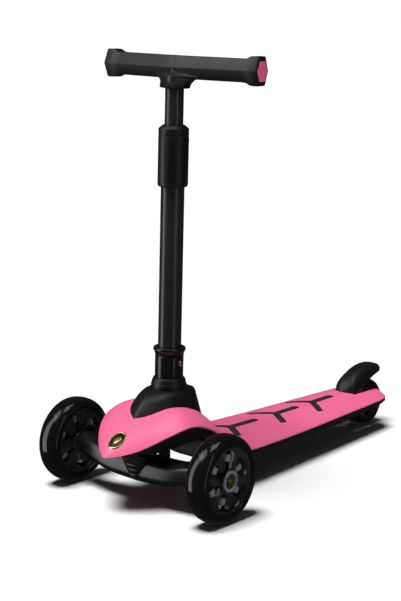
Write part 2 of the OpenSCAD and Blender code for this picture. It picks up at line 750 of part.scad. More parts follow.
rim_t = 6;
rim_w = front_tyre_w - 7;
web_t = 12;
spoke_w = 9;
spoke_turn = 22;
module front_hub(side)
    color(satin_black) from_axle() at_wheel(side, 0) difference() {
        union() {
            difference() {
                cylinder(d = front_rim_d, h = rim_w, center = true);
                cylinder(d = front_rim_d - 2 * rim_t, h = rim_w + 2, center = true);
            }
            translate([0, 0, -boss_in]) cylinder(r = boss_r, h = boss_in + boss_out);
            for (k = [0 : spoke_count - 1]) {
                rotate([0, 0, spoke_turn + 360 * (k + 0.5) / spoke_count])
                    translate([boss_r - 2, -spoke_w / 2, -web_t / 2])
                        cube([front_rim_d / 2 - rim_t - boss_r + 4, spoke_w, web_t + 4]);
                rotate([0, 0, spoke_turn + 360 * k / spoke_count])
                    translate([boss_r - 2, -1.5, -web_t / 2]) cube([light_r0 - boss_r + 2, 3, web_t]);
            }
        }
        bearing_pockets(boss_in, boss_out);
    }

module bearing_pockets(low, high) {
    translate([0, 0, -low - 1]) cylinder(d = bearing_d, h = bearing_w + 1);
    translate([0, 0, high - bearing_w]) cylinder(d = bearing_d, h = bearing_w + 1);
    translate([0, 0, -low]) cylinder(d = bearing_d - 5, h = low + high);
}

module bearing_pair(low, high)
    difference() {
        union() {
            translate([0, 0, -low]) cylinder(d = bearing_d, h = bearing_w);
            translate([0, 0, high - bearing_w]) cylinder(d = bearing_d, h = bearing_w);
        }
        translate([0, 0, -low - 1]) cylinder(d = axle_d + 2 * run_gap, h = low + high + 2);
    }

module front_bearings(side)
    color(steel) from_axle() at_wheel(side, 0) bearing_pair(boss_in, boss_out);

module spacer(low, high)
    difference() {
        translate([0, 0, -low]) cylinder(d = axle_d + 4, h = low + high);
        translate([0, 0, -low - 1]) cylinder(d = axle_d, h = low + high + 2);
    }

module bearing_spacer(side)
    color(steel) from_axle() at_wheel(side, 0)
        spacer(boss_in - bearing_w - loose_gap, boss_out - bearing_w - loose_gap);

module axle_bolt(side)
    color(steel) from_axle() {
        at_wheel(side, -arm_end - 26) cylinder(d = axle_d, h = arm_end + 26 + boss_out + 1);
        at_wheel(side, -arm_end) cylinder(d = axle_d + 5, h = arm_end - boss_in - loose_gap);
        at_wheel(side, boss_out + loose_gap) cylinder(d = axle_d + 5, h = head_t);
    }

light_r0 = hub_cap_d / 2 + 7;
light_len = 10;
module lights(side)
    color(pale) from_axle() at_wheel(side, 0) for (k = [0 : spoke_count - 1])
        rotate([0, 0, spoke_turn + 360 * k / spoke_count])
            translate([light_r0, -4, -web_t / 2]) cube([light_len, 8, web_t]);

module hub_cap(side)
    color(pale) from_axle() at_wheel(side, boss_out) difference() {
        union() {
            cylinder(r = boss_r, h = 3.4);
            translate([0, 0, 3.4 - eps]) cylinder(r1 = boss_r, r2 = boss_r - 2, h = 1.4);
        }
        translate([0, 0, -1]) cylinder(d = bearing_d, h = 1 + loose_gap * 2 + head_t + 0.1);
    }

// ---- Rear wheel ----

module at_rear(z) translate([-wheelbase, 0, rear_r]) rotate([-90, 0, 0])
    translate([0, 0, z]) children();

rear_boss = rear_tyre_w / 2 - 2;
module rear_tyre() color(smoke) from_axle() at_rear(0)
    tyre_ring(rear_r, rear_rim_d / 2, rear_tyre_w, 4.5);

module rear_hub()
    color(satin_black) from_axle() at_rear(0) difference() {
        union() {
            difference() {
                cylinder(d = rear_rim_d, h = rear_tyre_w - 6, center = true);
                cylinder(d = rear_rim_d - 8, h = rear_tyre_w, center = true);
            }
            cylinder(d = rear_rim_d - 6, h = 8, center = true);
            cylinder(d = bearing_d + 5, h = 2 * rear_boss, center = true);
        }
        for (k = [0 : 4]) rotate([0, 0, 72 * k]) translate([(bearing_d + rear_rim_d) / 4 + 0.5, 0, 0])
            cylinder(d = 4.5, h = 20, center = true);
        bearing_pockets(rear_boss, rear_boss);
    }

module rear_bearings() color(steel) from_axle() at_rear(0) bearing_pair(rear_boss, rear_boss);

module rear_spacer()
    color(steel) from_axle() at_rear(0)
        spacer(rear_boss - bearing_w - loose_gap, rear_boss - bearing_w - loose_gap);

module rear_axle()
    color(steel) from_axle() {
        span = wheel_slot_half + cheek_t;
        at_rear(-span - 5) cylinder(d = axle_d, h = 2 * span + 10);
        at_rear(span) cylinder(d = axle_d * 1.6, h = 4, $fn = 6);
        at_rear(-span - 4) cylinder(d = axle_d * 1.6, h = 4, $fn = 6);
        for (side = [-1, 1]) at_rear(side * (rear_boss + wheel_slot_half) / 2)
            cylinder(d = axle_d + 4, h = wheel_slot_half - rear_boss - 2 * loose_gap, center = true);
    }

// ---- Rear brake ----

tail_x = -wheelbase - 32;
fender_front_x = slot_front_x + 6;
side_z0 = deck_crown_z - deck_fall / 2;
fender_ridge = [
    [tail_x, fender_top_z - 4], [tail_x + 10, fender_top_z - 0.8], [tail_x + 26, fender_top_z],
    [tail_x + 44, fender_top_z - 2], [fender_front_x - 15, fender_top_z - 9],
    [fender_front_x - 6, fender_top_z - 18], [fender_front_x - 1, side_z0 + 12],
    [fender_front_x, side_z0 + 5]
];
fender_side = [
    [tail_x, fender_top_z - 7], [tail_x + 8, fender_top_z - 11], [tail_x + 20, fender_top_z - 14],
    [-wheelbase + 12, rear_wheel_d + 4.5], [fender_front_x - 34, side_z0 + 11.5],
    [fender_front_x - 26, side_z0 + 4], [fender_front_x - 14, side_z0 + 1],
    [fender_front_x - 8, side_z0 + 3.4], [fender_front_x, side_z0 + 4.4]
];
fender_plan = [
    [tail_x, 6], [tail_x + 3, 12.5], [tail_x + 9, 16.5], [tail_x + 20, fender_w / 2 - 1],
    [fender_front_x - 24, fender_w / 2], [fender_front_x - 10, fender_w / 2 - 1.5],
    [fender_front_x - 4, 13], [fender_front_x, 3]
];
function fender_z(x, s) =
    let(low = curve(fender_side, x)) low + (curve(fender_ridge, x) - low) * (1 - abs(s) ^ 2.6);
module fender_skin()
    loft([for (x = concat(stations(tail_x, tail_x + 24, 6, 0.7),
                          stations(tail_x + 32, fender_front_x, 14, 1.7)))
        section(x, curve(fender_plan, x), function(s) fender_z(x, s),
                function(s) fender_z(x, s * 0.86) - fender_t, 16)]);

block_x = -wheelbase + 2;
block_w = 22;
fender_spring_len = 10;
block_top_z = rear_wheel_d + 12;
module brake_fender()
    color(satin_black) from_axle() difference() {
        union() {
            fender_skin();
            // Barrel, web and seat for the brake block, under the skin
            translate([fender_pin_x, -fender_w / 2 + 1, fender_pin_z]) rotate([-90, 0, 0])
                cylinder(r = fender_barrel_r, h = fender_w - 2);
            rotate([90, 0, 0]) linear_extrude(block_w, center = true) polygon([
                [fender_pin_x - 4, fender_pin_z], [fender_pin_x + 5, fender_pin_z],
                [fender_pin_x + 6, fender_top_z - 16], [fender_pin_x - 5, fender_top_z - 9],
                [fender_pin_x - 18, fender_top_z - 5], [block_x - 11, fender_top_z - 3],
                [block_x - 11, block_top_z], [block_x + 11, block_top_z],
                [fender_pin_x - 7, block_top_z - 4]
            ]);
        }
        translate([fender_pin_x, -40, fender_pin_z]) rotate([-90, 0, 0])
            cylinder(d = fender_pin_d + 2 * run_gap, h = 80);
        // Room for the return spring in the middle of the barrel
        translate([fender_pin_x, -fender_spring_len / 2 - loose_gap, fender_pin_z]) rotate([-90, 0, 0])
            cylinder(r = fender_barrel_r + 1, h = fender_spring_len + 2 * loose_gap);
    }

module brake_block()
    color(steel) from_axle() difference() {
        translate([block_x - 9, -block_w / 2, rear_wheel_d]) cube([18, block_w, block_top_z - rear_wheel_d]);
        translate([-wheelbase, -30, rear_r]) rotate([-90, 0, 0])
            cylinder(r = rear_r + brake_gap, h = 60);
    }

module fender_pin()
    color(steel) from_axle() translate([fender_pin_x, 0, fender_pin_z]) rotate([-90, 0, 0])
        cylinder(d = fender_pin_d, h = 2 * (wheel_slot_half + cheek_t), center = true);

module fender_spring()
    color(steel) from_axle() translate([fender_pin_x, -fender_spring_len / 2, fender_pin_z])
        rotate([-90, 0, 0]) coil(fender_pin_d / 2 + 0.67, 0.6, fender_spring_len, 6, 8, 12);

// ---- Every node ----

chassis();
deck_cover();
grip_pad(0);  // grip_pad_front
grip_pad(1);  // grip_pad_middle
grip_pad(2);  // grip_pad_rear
nose_badge();
column_boot();
neck_sleeve();
neck_collar();
neck_ring();
release_button();
button_spring();
lower_tube();
tube_bushing();
clamp_collar();
clamp_bolt();
clamp_lever();
lever_pin();
upper_tube();
tube_foot();
bar_core();
bar_boss();
boss_screw();
grip(1);  // grip_left
grip(-1);  // grip_right
end_cap(1);  // end_cap_left
end_cap(-1);  // end_cap_right
axle_beam();
beam_fairing();
kingpin();
kingpin_bushes();
thrust_washer();
steering_buffers();
axle_bolt(1);  // axle_bolt_left
axle_bolt(-1);  // axle_bolt_right
bearing_spacer(1);  // bearing_spacer_left
bearing_spacer(-1);  // bearing_spacer_right
front_tyre(1);  // tyre_left
front_tyre(-1);  // tyre_right
front_hub(1);  // hub_left
front_hub(-1);  // hub_right
front_bearings(1);  // bearings_left
front_bearings(-1);  // bearings_right
lights(1);  // lights_left
lights(-1);  // lights_right
hub_cap(1);  // hub_cap_left
hub_cap(-1);  // hub_cap_right
rear_tyre();
rear_hub();
rear_bearings();
rear_spacer();
rear_axle();
brake_fender();
brake_block();
fender_pin();
fender_spring();
cover_screws();
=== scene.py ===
import json
import math
import bpy
from mathutils import Matrix, Vector


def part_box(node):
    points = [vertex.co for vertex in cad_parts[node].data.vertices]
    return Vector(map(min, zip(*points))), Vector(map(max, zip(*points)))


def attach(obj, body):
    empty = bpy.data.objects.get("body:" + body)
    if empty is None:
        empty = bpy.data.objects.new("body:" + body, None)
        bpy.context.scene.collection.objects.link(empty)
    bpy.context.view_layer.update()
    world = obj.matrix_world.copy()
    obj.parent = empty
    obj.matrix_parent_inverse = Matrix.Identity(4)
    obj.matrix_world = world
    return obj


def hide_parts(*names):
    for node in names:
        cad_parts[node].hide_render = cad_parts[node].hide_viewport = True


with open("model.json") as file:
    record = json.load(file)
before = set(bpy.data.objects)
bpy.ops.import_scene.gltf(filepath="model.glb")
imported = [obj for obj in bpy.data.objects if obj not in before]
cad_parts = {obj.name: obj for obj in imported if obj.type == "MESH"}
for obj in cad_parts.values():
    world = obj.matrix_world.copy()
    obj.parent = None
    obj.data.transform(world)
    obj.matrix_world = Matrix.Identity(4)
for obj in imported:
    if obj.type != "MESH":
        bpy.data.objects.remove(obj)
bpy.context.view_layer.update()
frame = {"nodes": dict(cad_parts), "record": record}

mm = 0.001
print("frame loaded:", len(frame["nodes"]), "nodes")


# Small tools

def clearSelection():
    if bpy.context.mode != "OBJECT":
        bpy.ops.object.mode_set(mode="OBJECT")
    bpy.ops.object.select_all(action="DESELECT")


def take(name):  # names the primitive that was just added
    piece = bpy.context.active_object
    piece.name = name
    piece.data.name = name
    return piece


def only(piece):
    clearSelection()
    piece.select_set(True)
    bpy.context.view_layer.objects.active = piece


def editAll(piece, kind="VERT"):
    only(piece)
    bpy.ops.object.mode_set(mode="EDIT")
    bpy.ops.mesh.select_mode(type=kind)
    bpy.ops.mesh.select_all(action="SELECT")


def leaveEdit():
    bpy.ops.object.mode_set(mode="OBJECT")


def settle(piece):  # its place goes into its mesh
    only(piece)
    bpy.ops.object.transform_apply(location=True, rotation=True, scale=True)


def modify(piece, kind, **settings):
    only(piece)
    step = piece.modifiers.new(kind.title(), kind)
    for key, value in settings.items():
        setattr(step, key, value)
    bpy.ops.object.modifier_apply(modifier=step.name)


def soften(piece, width=0.6, segments=3, angle=35):
    modify(piece, "BEVEL", width=width * mm, segments=segments, limit_method="ANGLE",
           angle_limit=math.radians(angle), use_clamp_overlap=True, harden_normals=False)


def smooth(piece, angle=38):
    only(piece)
    bpy.ops.object.shade_smooth_by_angle(angle=math.radians(angle))


def tidyShell(piece, gap=0.00001):
    editAll(piece)
    bpy.ops.mesh.remove_doubles(threshold=gap)
    bpy.ops.mesh.normals_make_consistent(inside=False)
    leaveEdit()


def faceAlong(piece, axis):  # turns an open sheet's normals to one side
    if sum(face.normal[axis] for face in piece.data.polygons) < 0:
        editAll(piece)
        bpy.ops.mesh.flip_normals()
        leaveEdit()


def pickFaces(piece, axis, sign):  # leaves the faces that look one way selected, in edit mode
    editAll(piece)
    bpy.ops.mesh.select_all(action="DESELECT")
    leaveEdit()
    for face in piece.data.polygons:
        face.select = sign * face.normal[axis] > 0.9
    bpy.ops.object.mode_set(mode="EDIT")


def cut(piece, *tools):
    for tool in tools:
        modify(piece, "BOOLEAN", object=tool, operation="DIFFERENCE", solver="EXACT")
        bpy.data.objects.remove(tool)


def joined(name, pieces):
    clearSelection()
    for piece in pieces:
        piece.select_set(True)
    bpy.context.view_layer.objects.active = pieces[0]
    bpy.ops.object.join()
    return take(name)


def twin(piece, name, matrix=None):
    only(piece)
    bpy.ops.object.duplicate(linked=False)
    copy = take(name)
    if matrix is not None:
        copy.data.transform(matrix)
        if matrix.determinant() < 0:
            editAll(copy)
            bpy.ops.mesh.flip_normals()
            leaveEdit()
    return copy


def around(piece, name, count, axis, centre, start=0.0):  # copies set in a circle, joined as one
    turn = []
    for place in range(count):
        angle = math.radians(start + 360 * place / count)
        spin = Matrix.Translation(centre) @ Matrix.Rotation(angle, 4, axis) @ Matrix.Translation(-centre)
        turn.append(twin(piece, name + str(place), spin))
    bpy.data.objects.remove(piece)
    return joined(name, turn)


def curveAt(table, x):  # smooth curve through the rows of a table
    last = len(table) - 2
    row = 0
    while row < last and x > table[row + 1][0]:
        row += 1
    def slope(i):
        low, high = max(i - 1, 0), min(i + 1, len(table) - 1)
        return (table[high][1] - table[low][1]) / (table[high][0] - table[low][0])
    step = table[row + 1][0] - table[row][0]
    u = (x - table[row][0]) / step
    return ((2 * u ** 3 - 3 * u ** 2 + 1) * table[row][1] + (u ** 3 - 2 * u ** 2 + u) * slope(row) * step
            + (3 * u ** 2 - 2 * u ** 3) * table[row + 1][1] + (u ** 3 - u ** 2) * slope(row + 1) * step)


def signedPower(value, power):
    return math.copysign(abs(value) ** power, value)


def spread(low, high, count, bias=1.0):
    return [low + (high - low) * (1 - (1 - i / count) ** bias) for i in range(count + 1)]


def draped(name, rows):  # a grid whose points are drawn to the rows' places
    across, along = len(rows[0]), len(rows)
    clearSelection()
    bpy.ops.mesh.primitive_grid_add(x_subdivisions=across - 1, y_subdivisions=along - 1, size=1)
    piece = take(name)
    for point, place in zip(piece.data.vertices, [p for row in rows for p in row]):
        point.co = place
    return piece


def lofted(name, rings, closed=True):  # a grid wrapped into a tube, its ends filled
    piece = draped(name, [list(ring) + [ring[0]] for ring in rings])
    editAll(piece)
    bpy.ops.mesh.remove_doubles(threshold=0.000004)
    if closed:
        bpy.ops.mesh.select_all(action="SELECT")
        bpy.ops.mesh.fill_holes(sides=0)
    bpy.ops.mesh.select_all(action="SELECT")
    bpy.ops.mesh.normals_make_consistent(inside=False)
    leaveEdit()
    return piece


def turned(name, profile, count=96, hollow=True):  # profile of (radius, height) in mm, turned about Z
    clearSelection()
    radius, height = profile[0]
    bpy.ops.mesh.primitive_circle_add(vertices=count, radius=radius * mm, location=(0, 0, height * mm))
    piece = take(name)
    settle(piece)
    editAll(piece)
    for (oldRadius, oldHeight), (radius, height) in zip(profile, profile[1:]):
        bpy.ops.mesh.extrude_edges_move(
            TRANSFORM_OT_translate={"value": (0, 0, (height - oldHeight) * mm)})
        share = radius / oldRadius
        bpy.ops.transform.resize(value=(share, share, 1), center_override=(0, 0, height * mm))
    bpy.ops.mesh.select_all(action="DESELECT")
    bpy.ops.mesh.select_mode(type="EDGE")
    bpy.ops.mesh.select_non_manifold(extend=False, use_wire=False, use_boundary=True,
                                     use_multi_face=False, use_non_contiguous=False, use_verts=False)
    if hollow:
        bpy.ops.mesh.bridge_edge_loops()
    else:
        bpy.ops.mesh.fill_holes(sides=0)
    bpy.ops.mesh.select_all(action="SELECT")
    bpy.ops.mesh.normals_make_consistent(inside=False)
    leaveEdit()
    return piece


def stand(piece, matrix):
    piece.data.transform(matrix)
    return piece


def block(name, size, centre):
    clearSelection()
    bpy.ops.mesh.primitive_cube_add(size=1, location=Vector(centre) * mm)
    piece = take(name)
    piece.scale = Vector(size) * mm
    settle(piece)
    return piece


# Places read from the frame

tyreLow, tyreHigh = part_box("tyre_left")
axleX = (tyreLow.x + tyreHigh.x) / 2
wheelY = (tyreLow.y + tyreHigh.y) / 2
wheelZ = (tyreLow.z + tyreHigh.z) / 2
rearLow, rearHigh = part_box("rear_tyre")
rearX = (rearLow.x + rearHigh.x) / 2
rearZ = (rearLow.z + rearHigh.z) / 2
tubeLow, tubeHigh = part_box("lower_tube")
columnX = (tubeLow.x + tubeHigh.x) / 2
onColumn = Matrix.Translation((columnX, 0, 0))


def at(x, y, z):  # a point in mm measured from the front axle
    return Vector((axleX + x * mm, y * mm, z * mm))


# Finishes

class Wire:  # a socket that sums are written with
    def __init__(self, finish, socket):
        self.finish = finish
        self.socket = socket

    def maths(self, operation, first, second):
        return self.finish.node("ShaderNodeMath", {"operation": operation}, {0: first, 1: second})

    def __add__(self, other):
        return self.maths("ADD", self, other)

    def __radd__(self, other):
        return self.maths("ADD", other, self)

    def __sub__(self, other):
        return self.maths("SUBTRACT", self, other)

    def __rsub__(self, other):
        return self.maths("SUBTRACT", other, self)

    def __mul__(self, other):
        return self.maths("MULTIPLY", self, other)

    def __rmul__(self, other):
        return self.maths("MULTIPLY", other, self)


class Finish:
    def __init__(self, name, **constants):
        self.material = bpy.data.materials.new(name)
        self.material.use_nodes = True
        self.tree = self.material.node_tree
        self.shader = self.tree.nodes["Principled BSDF"]
        self.set(**constants)
        self.place = self.node("ShaderNodeTexCoord", {}, {}, "Object")

    def set(self, **values):
        for key, value in values.items():
            self.put(self.shader.inputs[key.replace("_", " ")], value)

    def put(self, socket, value):
        if isinstance(value, Wire):
            self.tree.links.new(value.socket, socket)
        elif isinstance(value, tuple) and socket.type == "RGBA" and len(value) == 3:
            socket.default_value = (*value, 1)
        else:
            socket.default_value = value

    def node(self, kind, settings, inputs, output=0):
        node = self.tree.nodes.new(kind)
        for key, value in settings.items():
            setattr(node, key, value)
        for key, value in inputs.items():
            self.put(node.inputs[key], value)
        return Wire(self, node.outputs[output])

    def noise(self, scale, detail=3.0, roughness=0.55, stretch=(1, 1, 1)):
        place = self.node("ShaderNodeMapping", {}, {"Vector": self.place, "Scale": stretch})
        return self.node("ShaderNodeTexNoise", {}, {"Vector": place, "Scale": scale, "Detail": detail,
                                                    "Roughness": roughness}, "Fac")

    def mix(self, share, first, second):
        return self.node("ShaderNodeMix", {"data_type": "RGBA"}, {0: share, 6: first, 7: second}, 2)

    def bump(self, height, strength, distance, onto=None):
        inputs = {"Height": height, "Strength": strength, "Distance": distance}
        if onto is not None:
            inputs["Normal"] = onto
        return self.node("ShaderNodeBump", {}, inputs, "Normal")


def moulded(name, colour, low, high, grain=900, strength=0.12, mottle=0.12, coat=0.0, **constants):
    finish = Finish(name, **constants)
    cloud = finish.noise(7, 3)
    fine = finish.noise(grain, 2, 0.6)
    streak = finish.noise(60, 3, 0.5, (1, 1, 0.25))
    shade = tuple(c * (1 - mottle) for c in colour)
    light = tuple(min(c * (1 + mottle), 1) for c in colour)
    finish.set(Base_Color=finish.mix(cloud, shade, light))
    finish.set(Roughness=low + (high - low) * (0.6 * streak + 0.4 * cloud))
    finish.set(Normal=finish.bump(fine, strength, 0.0002))
    finish.set(Coat_Weight=coat)
    return finish.material


def metal(name, colour, low, high, stretch=(1, 1, 1), scale=220):
    finish = Finish(name, Metallic=1.0)
    brushed = finish.noise(scale, 4, 0.6, stretch)
    cloud = finish.noise(14, 2)
    shade = tuple(c * 0.82 for c in colour)
    finish.set(Base_Color=finish.mix(cloud, shade, colour))
    finish.set(Roughness=low + (high - low) * brushed)
    finish.set(Normal=finish.bump(brushed, 0.08, 0.0001))
    return finish.material


pinkShell = moulded("pinkShell", (0.95, 0.165, 0.335), 0.34, 0.46, 1500, 0.05, 0.015, 0.25,
                    Coat_Roughness=0.25)
pinkInsert = moulded("pinkInsert", (0.80, 0.105, 0.24), 0.5, 0.62, 1200, 0.12, 0.04)
satinBlack = moulded("satinBlack", (0.0065, 0.0065, 0.0073), 0.36, 0.48, 1600, 0.10, 0.15)
grainBlack = moulded("grainBlack", (0.0052, 0.0052, 0.006), 0.36, 0.48, 1100, 0.2, 0.15)
glossBlack = moulded("glossBlack", (0.006, 0.006, 0.0068), 0.24, 0.34, 900, 0.03, 0.15, 0.15,
                     Coat_Roughness=0.18)
tubeBlack = moulded("tubeBlack", (0.0135, 0.0135, 0.0145), 0.27, 0.36, 1800, 0.05, 0.12, 0.15,
                    Coat_Roughness=0.2)
padRubber = moulded("padRubber", (0.020, 0.022, 0.0225), 0.6, 0.78, 700, 0.5, 0.2)
smokeTyre = moulded("smokeTyre", (0.005, 0.005, 0.0055), 0.09, 0.15, 500, 0.02, 0.2, 0.12,
                    Coat_Roughness=0.05, Specular_IOR_Level=0.3)
smokeHub = moulded("smokeHub", (0.020, 0.020, 0.022), 0.14, 0.24, 600, 0.03, 0.25, 0.4, Coat_Roughness=0.08)
paleLens = moulded("paleLens", (0.20, 0.205, 0.215), 0.22, 0.34, 500, 0.06, 0.2)
paleTeeth = moulded("paleTeeth", (0.30, 0.305, 0.32), 0.25, 0.36, 500, 0.05, 0.15)
undersideBlack = moulded("undersideBlack", (0.008, 0.008, 0.009), 0.5, 0.7, 700, 0.2, 0.2)
bushBronze = metal("bushBronze", (0.62, 0.42, 0.16), 0.3, 0.5)
plainSteel = metal("plainSteel", (0.55, 0.56, 0.58), 0.2, 0.36)
brightSteel = metal("brightSteel", (0.86, 0.87, 0.88), 0.06, 0.14)
badgeGold = metal("badgeGold", (0.83, 0.62, 0.22), 0.22, 0.34)
softRubber = moulded("softRubber", (0.014, 0.014, 0.015), 0.7, 0.85, 500, 0.4, 0.2)

slotFinish = {
    "pink_plastic": pinkShell, "cap_pink": pinkInsert, "black_plastic": undersideBlack,
    "gloss_black": glossBlack, "bar_black": grainBlack, "clamp_black": satinBlack,
    "pad_rubber": padRubber, "buffer_rubber": softRubber, "badge_gold": badgeGold,
    "chrome": brightSteel, "steel": plainSteel, "bronze": bushBronze, "black_tube": tubeBlack,
    "smoked_tyre": smokeTyre, "hub_black": smokeHub, "light_block": paleLens, "clear_cap": paleTeeth,
}
slotOf = {row["node"]: row["material_slot"] for row in frame["record"]["subparts"]}
for nodeName, node in frame["nodes"].items():  # every carried-over node gets its finish
    node.data.materials.clear()
    node.data.materials.append(slotFinish[slotOf[nodeName]])


def finished(piece, name, body, finish, stands=()):
    piece.name = name
    piece.data.name = name
    piece.data.materials.clear()
    piece.data.materials.append(finish)
    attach(piece, body)
    for node in stands:
        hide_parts(node)
    return piece

print("finishes ready")


# Deck shell

deckSize = {"halfWidth": 71.0, "crown": 64.4, "camber": 10.9, "fall": 3.6, "tail": -546.0, "nose": 81.99,
            "tailShare": 0.65, "wall": 3.1, "lip": 1.1, "blend": -25.0}
edgeLow = deckSize["crown"] - deckSize["camber"]
tailHalf = deckSize["halfWidth"] * deckSize["tailShare"]
tailX = deckSize["tail"]
halfFall = deckSize["fall"] / 2
edgeLine = [(tailX, edgeLow - halfFall), (-150, edgeLow + halfFall), (-110, 68), (-65, 99), (-18, 114.5),
            (20, 106.5), (60, 86), (82, 77.5)]
crestLine = [(tailX, deckSize["crown"] - halfFall), (-150, deckSize["crown"] + halfFall), (-120, 77),
             (-90, 104), (-60, 126), (-15, 135), (26, 118.7), (52, 103), (68, 92.5), (78, 83.5), (82, 78.5)]
planLine = [(tailX, tailHalf * 0.60), (tailX + 2.5, tailHalf * 0.76), (tailX + 7, tailHalf * 0.88),
            (tailX + 14, tailHalf * 0.96), (tailX + 40, tailHalf * 1.03), (-340, 58.9), (-200, 67.45),
            (-140, 70.3), (-80, 71), (-25, 71)]


def planHalf(x):
    if x <= deckSize["blend"]:
        return curveAt(planLine, x)
    share = max((deckSize["nose"] - x) / (deckSize["nose"] - deckSize["blend"]), 0.0)
    return deckSize["halfWidth"] * math.sin(math.pi / 2 * share ** 0.8)


def deckHeight(x, share):
    power = 2.4 + 0.6 * min(max((x + 135) / 30, 0), 1)
    edge = curveAt(edgeLine, x)
    return edge + (curveAt(crestLine, x) - edge) * (1 - abs(share) ** power)


def onDeck(x, y, lift=0.0):
    return at(x, y, deckHeight(x, min(abs(y) / max(planHalf(x), 0.1), 1)) + lift)


deckStations = (spread(tailX, tailX + 40, 9, 0.6) + spread(-496, -160, 28) + spread(-153, 52, 46)
                + spread(56, 81.995, 14, 1.9))
shares = [-math.cos(math.pi * i / 52) for i in range(53)]
deckShell = draped("deckShell", [[at(x, s * planHalf(x), deckHeight(x, s)) for s in shares]
                                 for x in deckStations])
tidyShell(deckShell, 0.0001)
faceAlong(deckShell, 2)
modify(deckShell, "SOLIDIFY", thickness=deckSize["wall"] * mm, offset=-1, use_even_offset=False)
soften(deckShell, deckSize["lip"], 3, 50)

# Column boot, shaped before the shell is opened for it

bootSize = {"levels": [  # height in front and behind, front, rear, half width
    (99, 99, 29, -93, 46), (112, 108, 27.5, -91, 43.5), (119, 116, 24.5, -89.5, 41.2),
    (127, 124, 19, -88, 38.2), (134, 132, 12.8, -86.5, 35.4), (140.5, 138.5, 5.8, -85, 32.8),
    (145.5, 143.6, -1.5, -84, 30.6), (148.6, 147, -8, -83, 28.8), (150, 148.8, -12.5, -81.5, 27.4),
    (150.6, 149.5, -16, -79, 25.8), (150.7, 149.6, -21, -74, 22)],
    "frontPower": 2.2, "rearPower": 3.0, "crease": 5.5, "creaseWidth": 14}


def bootRing(level, grow=0.0, count=72):
    frontZ, rearZ, front, rear, half = level
    middle, reach = (front + rear) / 2, (front - rear) / 2 + grow
    fade = min(max((149 - frontZ) / 14, 0), 1)
    ring = []
    for i in range(count):
        angle = 2 * math.pi * i / count
        c, s = math.cos(angle), math.sin(angle)
        power = bootSize["frontPower"] if c > 0 else bootSize["rearPower"]
        x = middle + reach * signedPower(c, 2 / power)
        y = (half + grow) * signedPower(s, 2 / power)
        if c > 0:  # a soft keel down the front
            x -= bootSize["crease"] * fade * c * (1 - math.exp(-abs(y) / bootSize["creaseWidth"]))
        along = (front - x) / (front - rear)
        ring.append(at(x, y, frontZ + (rearZ - frontZ) * along))
    return ring


def rounder(levels, steps):  # more levels, on a smooth curve
    rows = []
    for i in range(steps + 1):
        u = (len(levels) - 1) * i / steps
        rows.append([curveAt([(k, level[c]) for k, level in enumerate(levels)], u) for c in range(5)])
    return rows


bootLevels = rounder(bootSize["levels"], 40)
columnBoot = lofted("columnBoot", [bootRing(level) for level in bootLevels])
smooth(columnBoot, 50)
finished(columnBoot, "columnBoot", "deck", satinBlack, ["column_boot"])
bootTool = lofted("bootTool", [bootRing(level, 0.45) for level in rounder(bootSize["levels"], 16)])
bootTool.data.transform(Matrix.Translation((0, 0, -3 * mm)))
lowTool = lofted("lowTool", [bootRing((z, z, 29, -93, 46), 0.45) for z in (60, 97)])

# Bulkhead that closes the chassis behind the front wheels

bulkheadSize = {"rows": [  # x, half width, low, high
    (-170, 60, 33.5, 50), (-150, 60, 33.5, 51), (-128, 59, 33.5, 57), (-112, 57, 34.5, 64),
    (-104, 53, 39, 67)], "power": 4.5, "count": 48}
rings = []
for x, half, low, high in bulkheadSize["rows"]:
    ring = []
    for i in range(bulkheadSize["count"]):
        angle = 2 * math.pi * i / bulkheadSize["count"]
        c, s = (signedPower(v, 2 / bulkheadSize["power"]) for v in (math.cos(angle), math.sin(angle)))
        ring.append(at(x, half * c, (low + high) / 2 + (high - low) / 2 * s))
    rings.append(ring)
frontBulkhead = lofted("frontBulkhead", rings)
soften(frontBulkhead, 2.0, 3, 40)
smooth(frontBulkhead, 40)
finished(frontBulkhead, "frontBulkhead", "deck", satinBlack)

# Grip pads and their pockets

padSize = {"bar": 10.6, "arm": (25, 35), "places": (-188, -297, -391), "stems": (61, 55, 53),
           "corner": 1.6, "gap": 0.45, "bevel": 0.75, "rise": 0.55, "depth": 1.5}


def padOutline(stem):
    w = padSize["bar"] / 2
    armX, armY = padSize["arm"]
    half = [(-stem, w * 0.62), (-stem + w * 0.6, w), (-w * 0.4, w), (armX - w, armY),
            (armX + w * 0.9, armY - w * 0.6), (w * 1.2, 0)]
    return half + [(x, -y) for x, y in reversed(half[:-1])]


def rounded(outline, radius, steps=4):
    points = []
    count = len(outline)
    for i in range(count):
        before, here, after = (Vector(outline[(i + k) % count]) for k in (-1, 0, 1))
        reach = min(radius, (before - here).length * 0.4, (after - here).length * 0.4)
        a, b = here + (before - here).normalized() * reach, here + (after - here).normalized() * reach
        for k in range(steps + 1):
            u = k / steps
            points.append(a * (1 - u) ** 2 + here * 2 * u * (1 - u) + b * u ** 2)
    return points


def divided(outline, longest=3.0):
    points = []
    for i, here in enumerate(outline):
        after = outline[(i + 1) % len(outline)]
        parts = max(1, math.ceil((after - here).length / longest))
        points += [here.lerp(after, k / parts) for k in range(parts)]
    return points


def padLayers(name, place, stem, layers):
    base = divided(rounded(padOutline(stem), padSize["corner"]))
    count = len(base)
    rings = []
    for grow, lift in layers:
        ring = []
        for i in range(count):
            before, here, after = base[i - 1], base[i], base[(i + 1) % count]
            side = (after - before).normalized()
            out = here + Vector((side.y, -side.x)) * -grow
            ring.append(onDeck(place + out.x, out.y, lift))
        rings.append(ring)
    return lofted(name, rings)


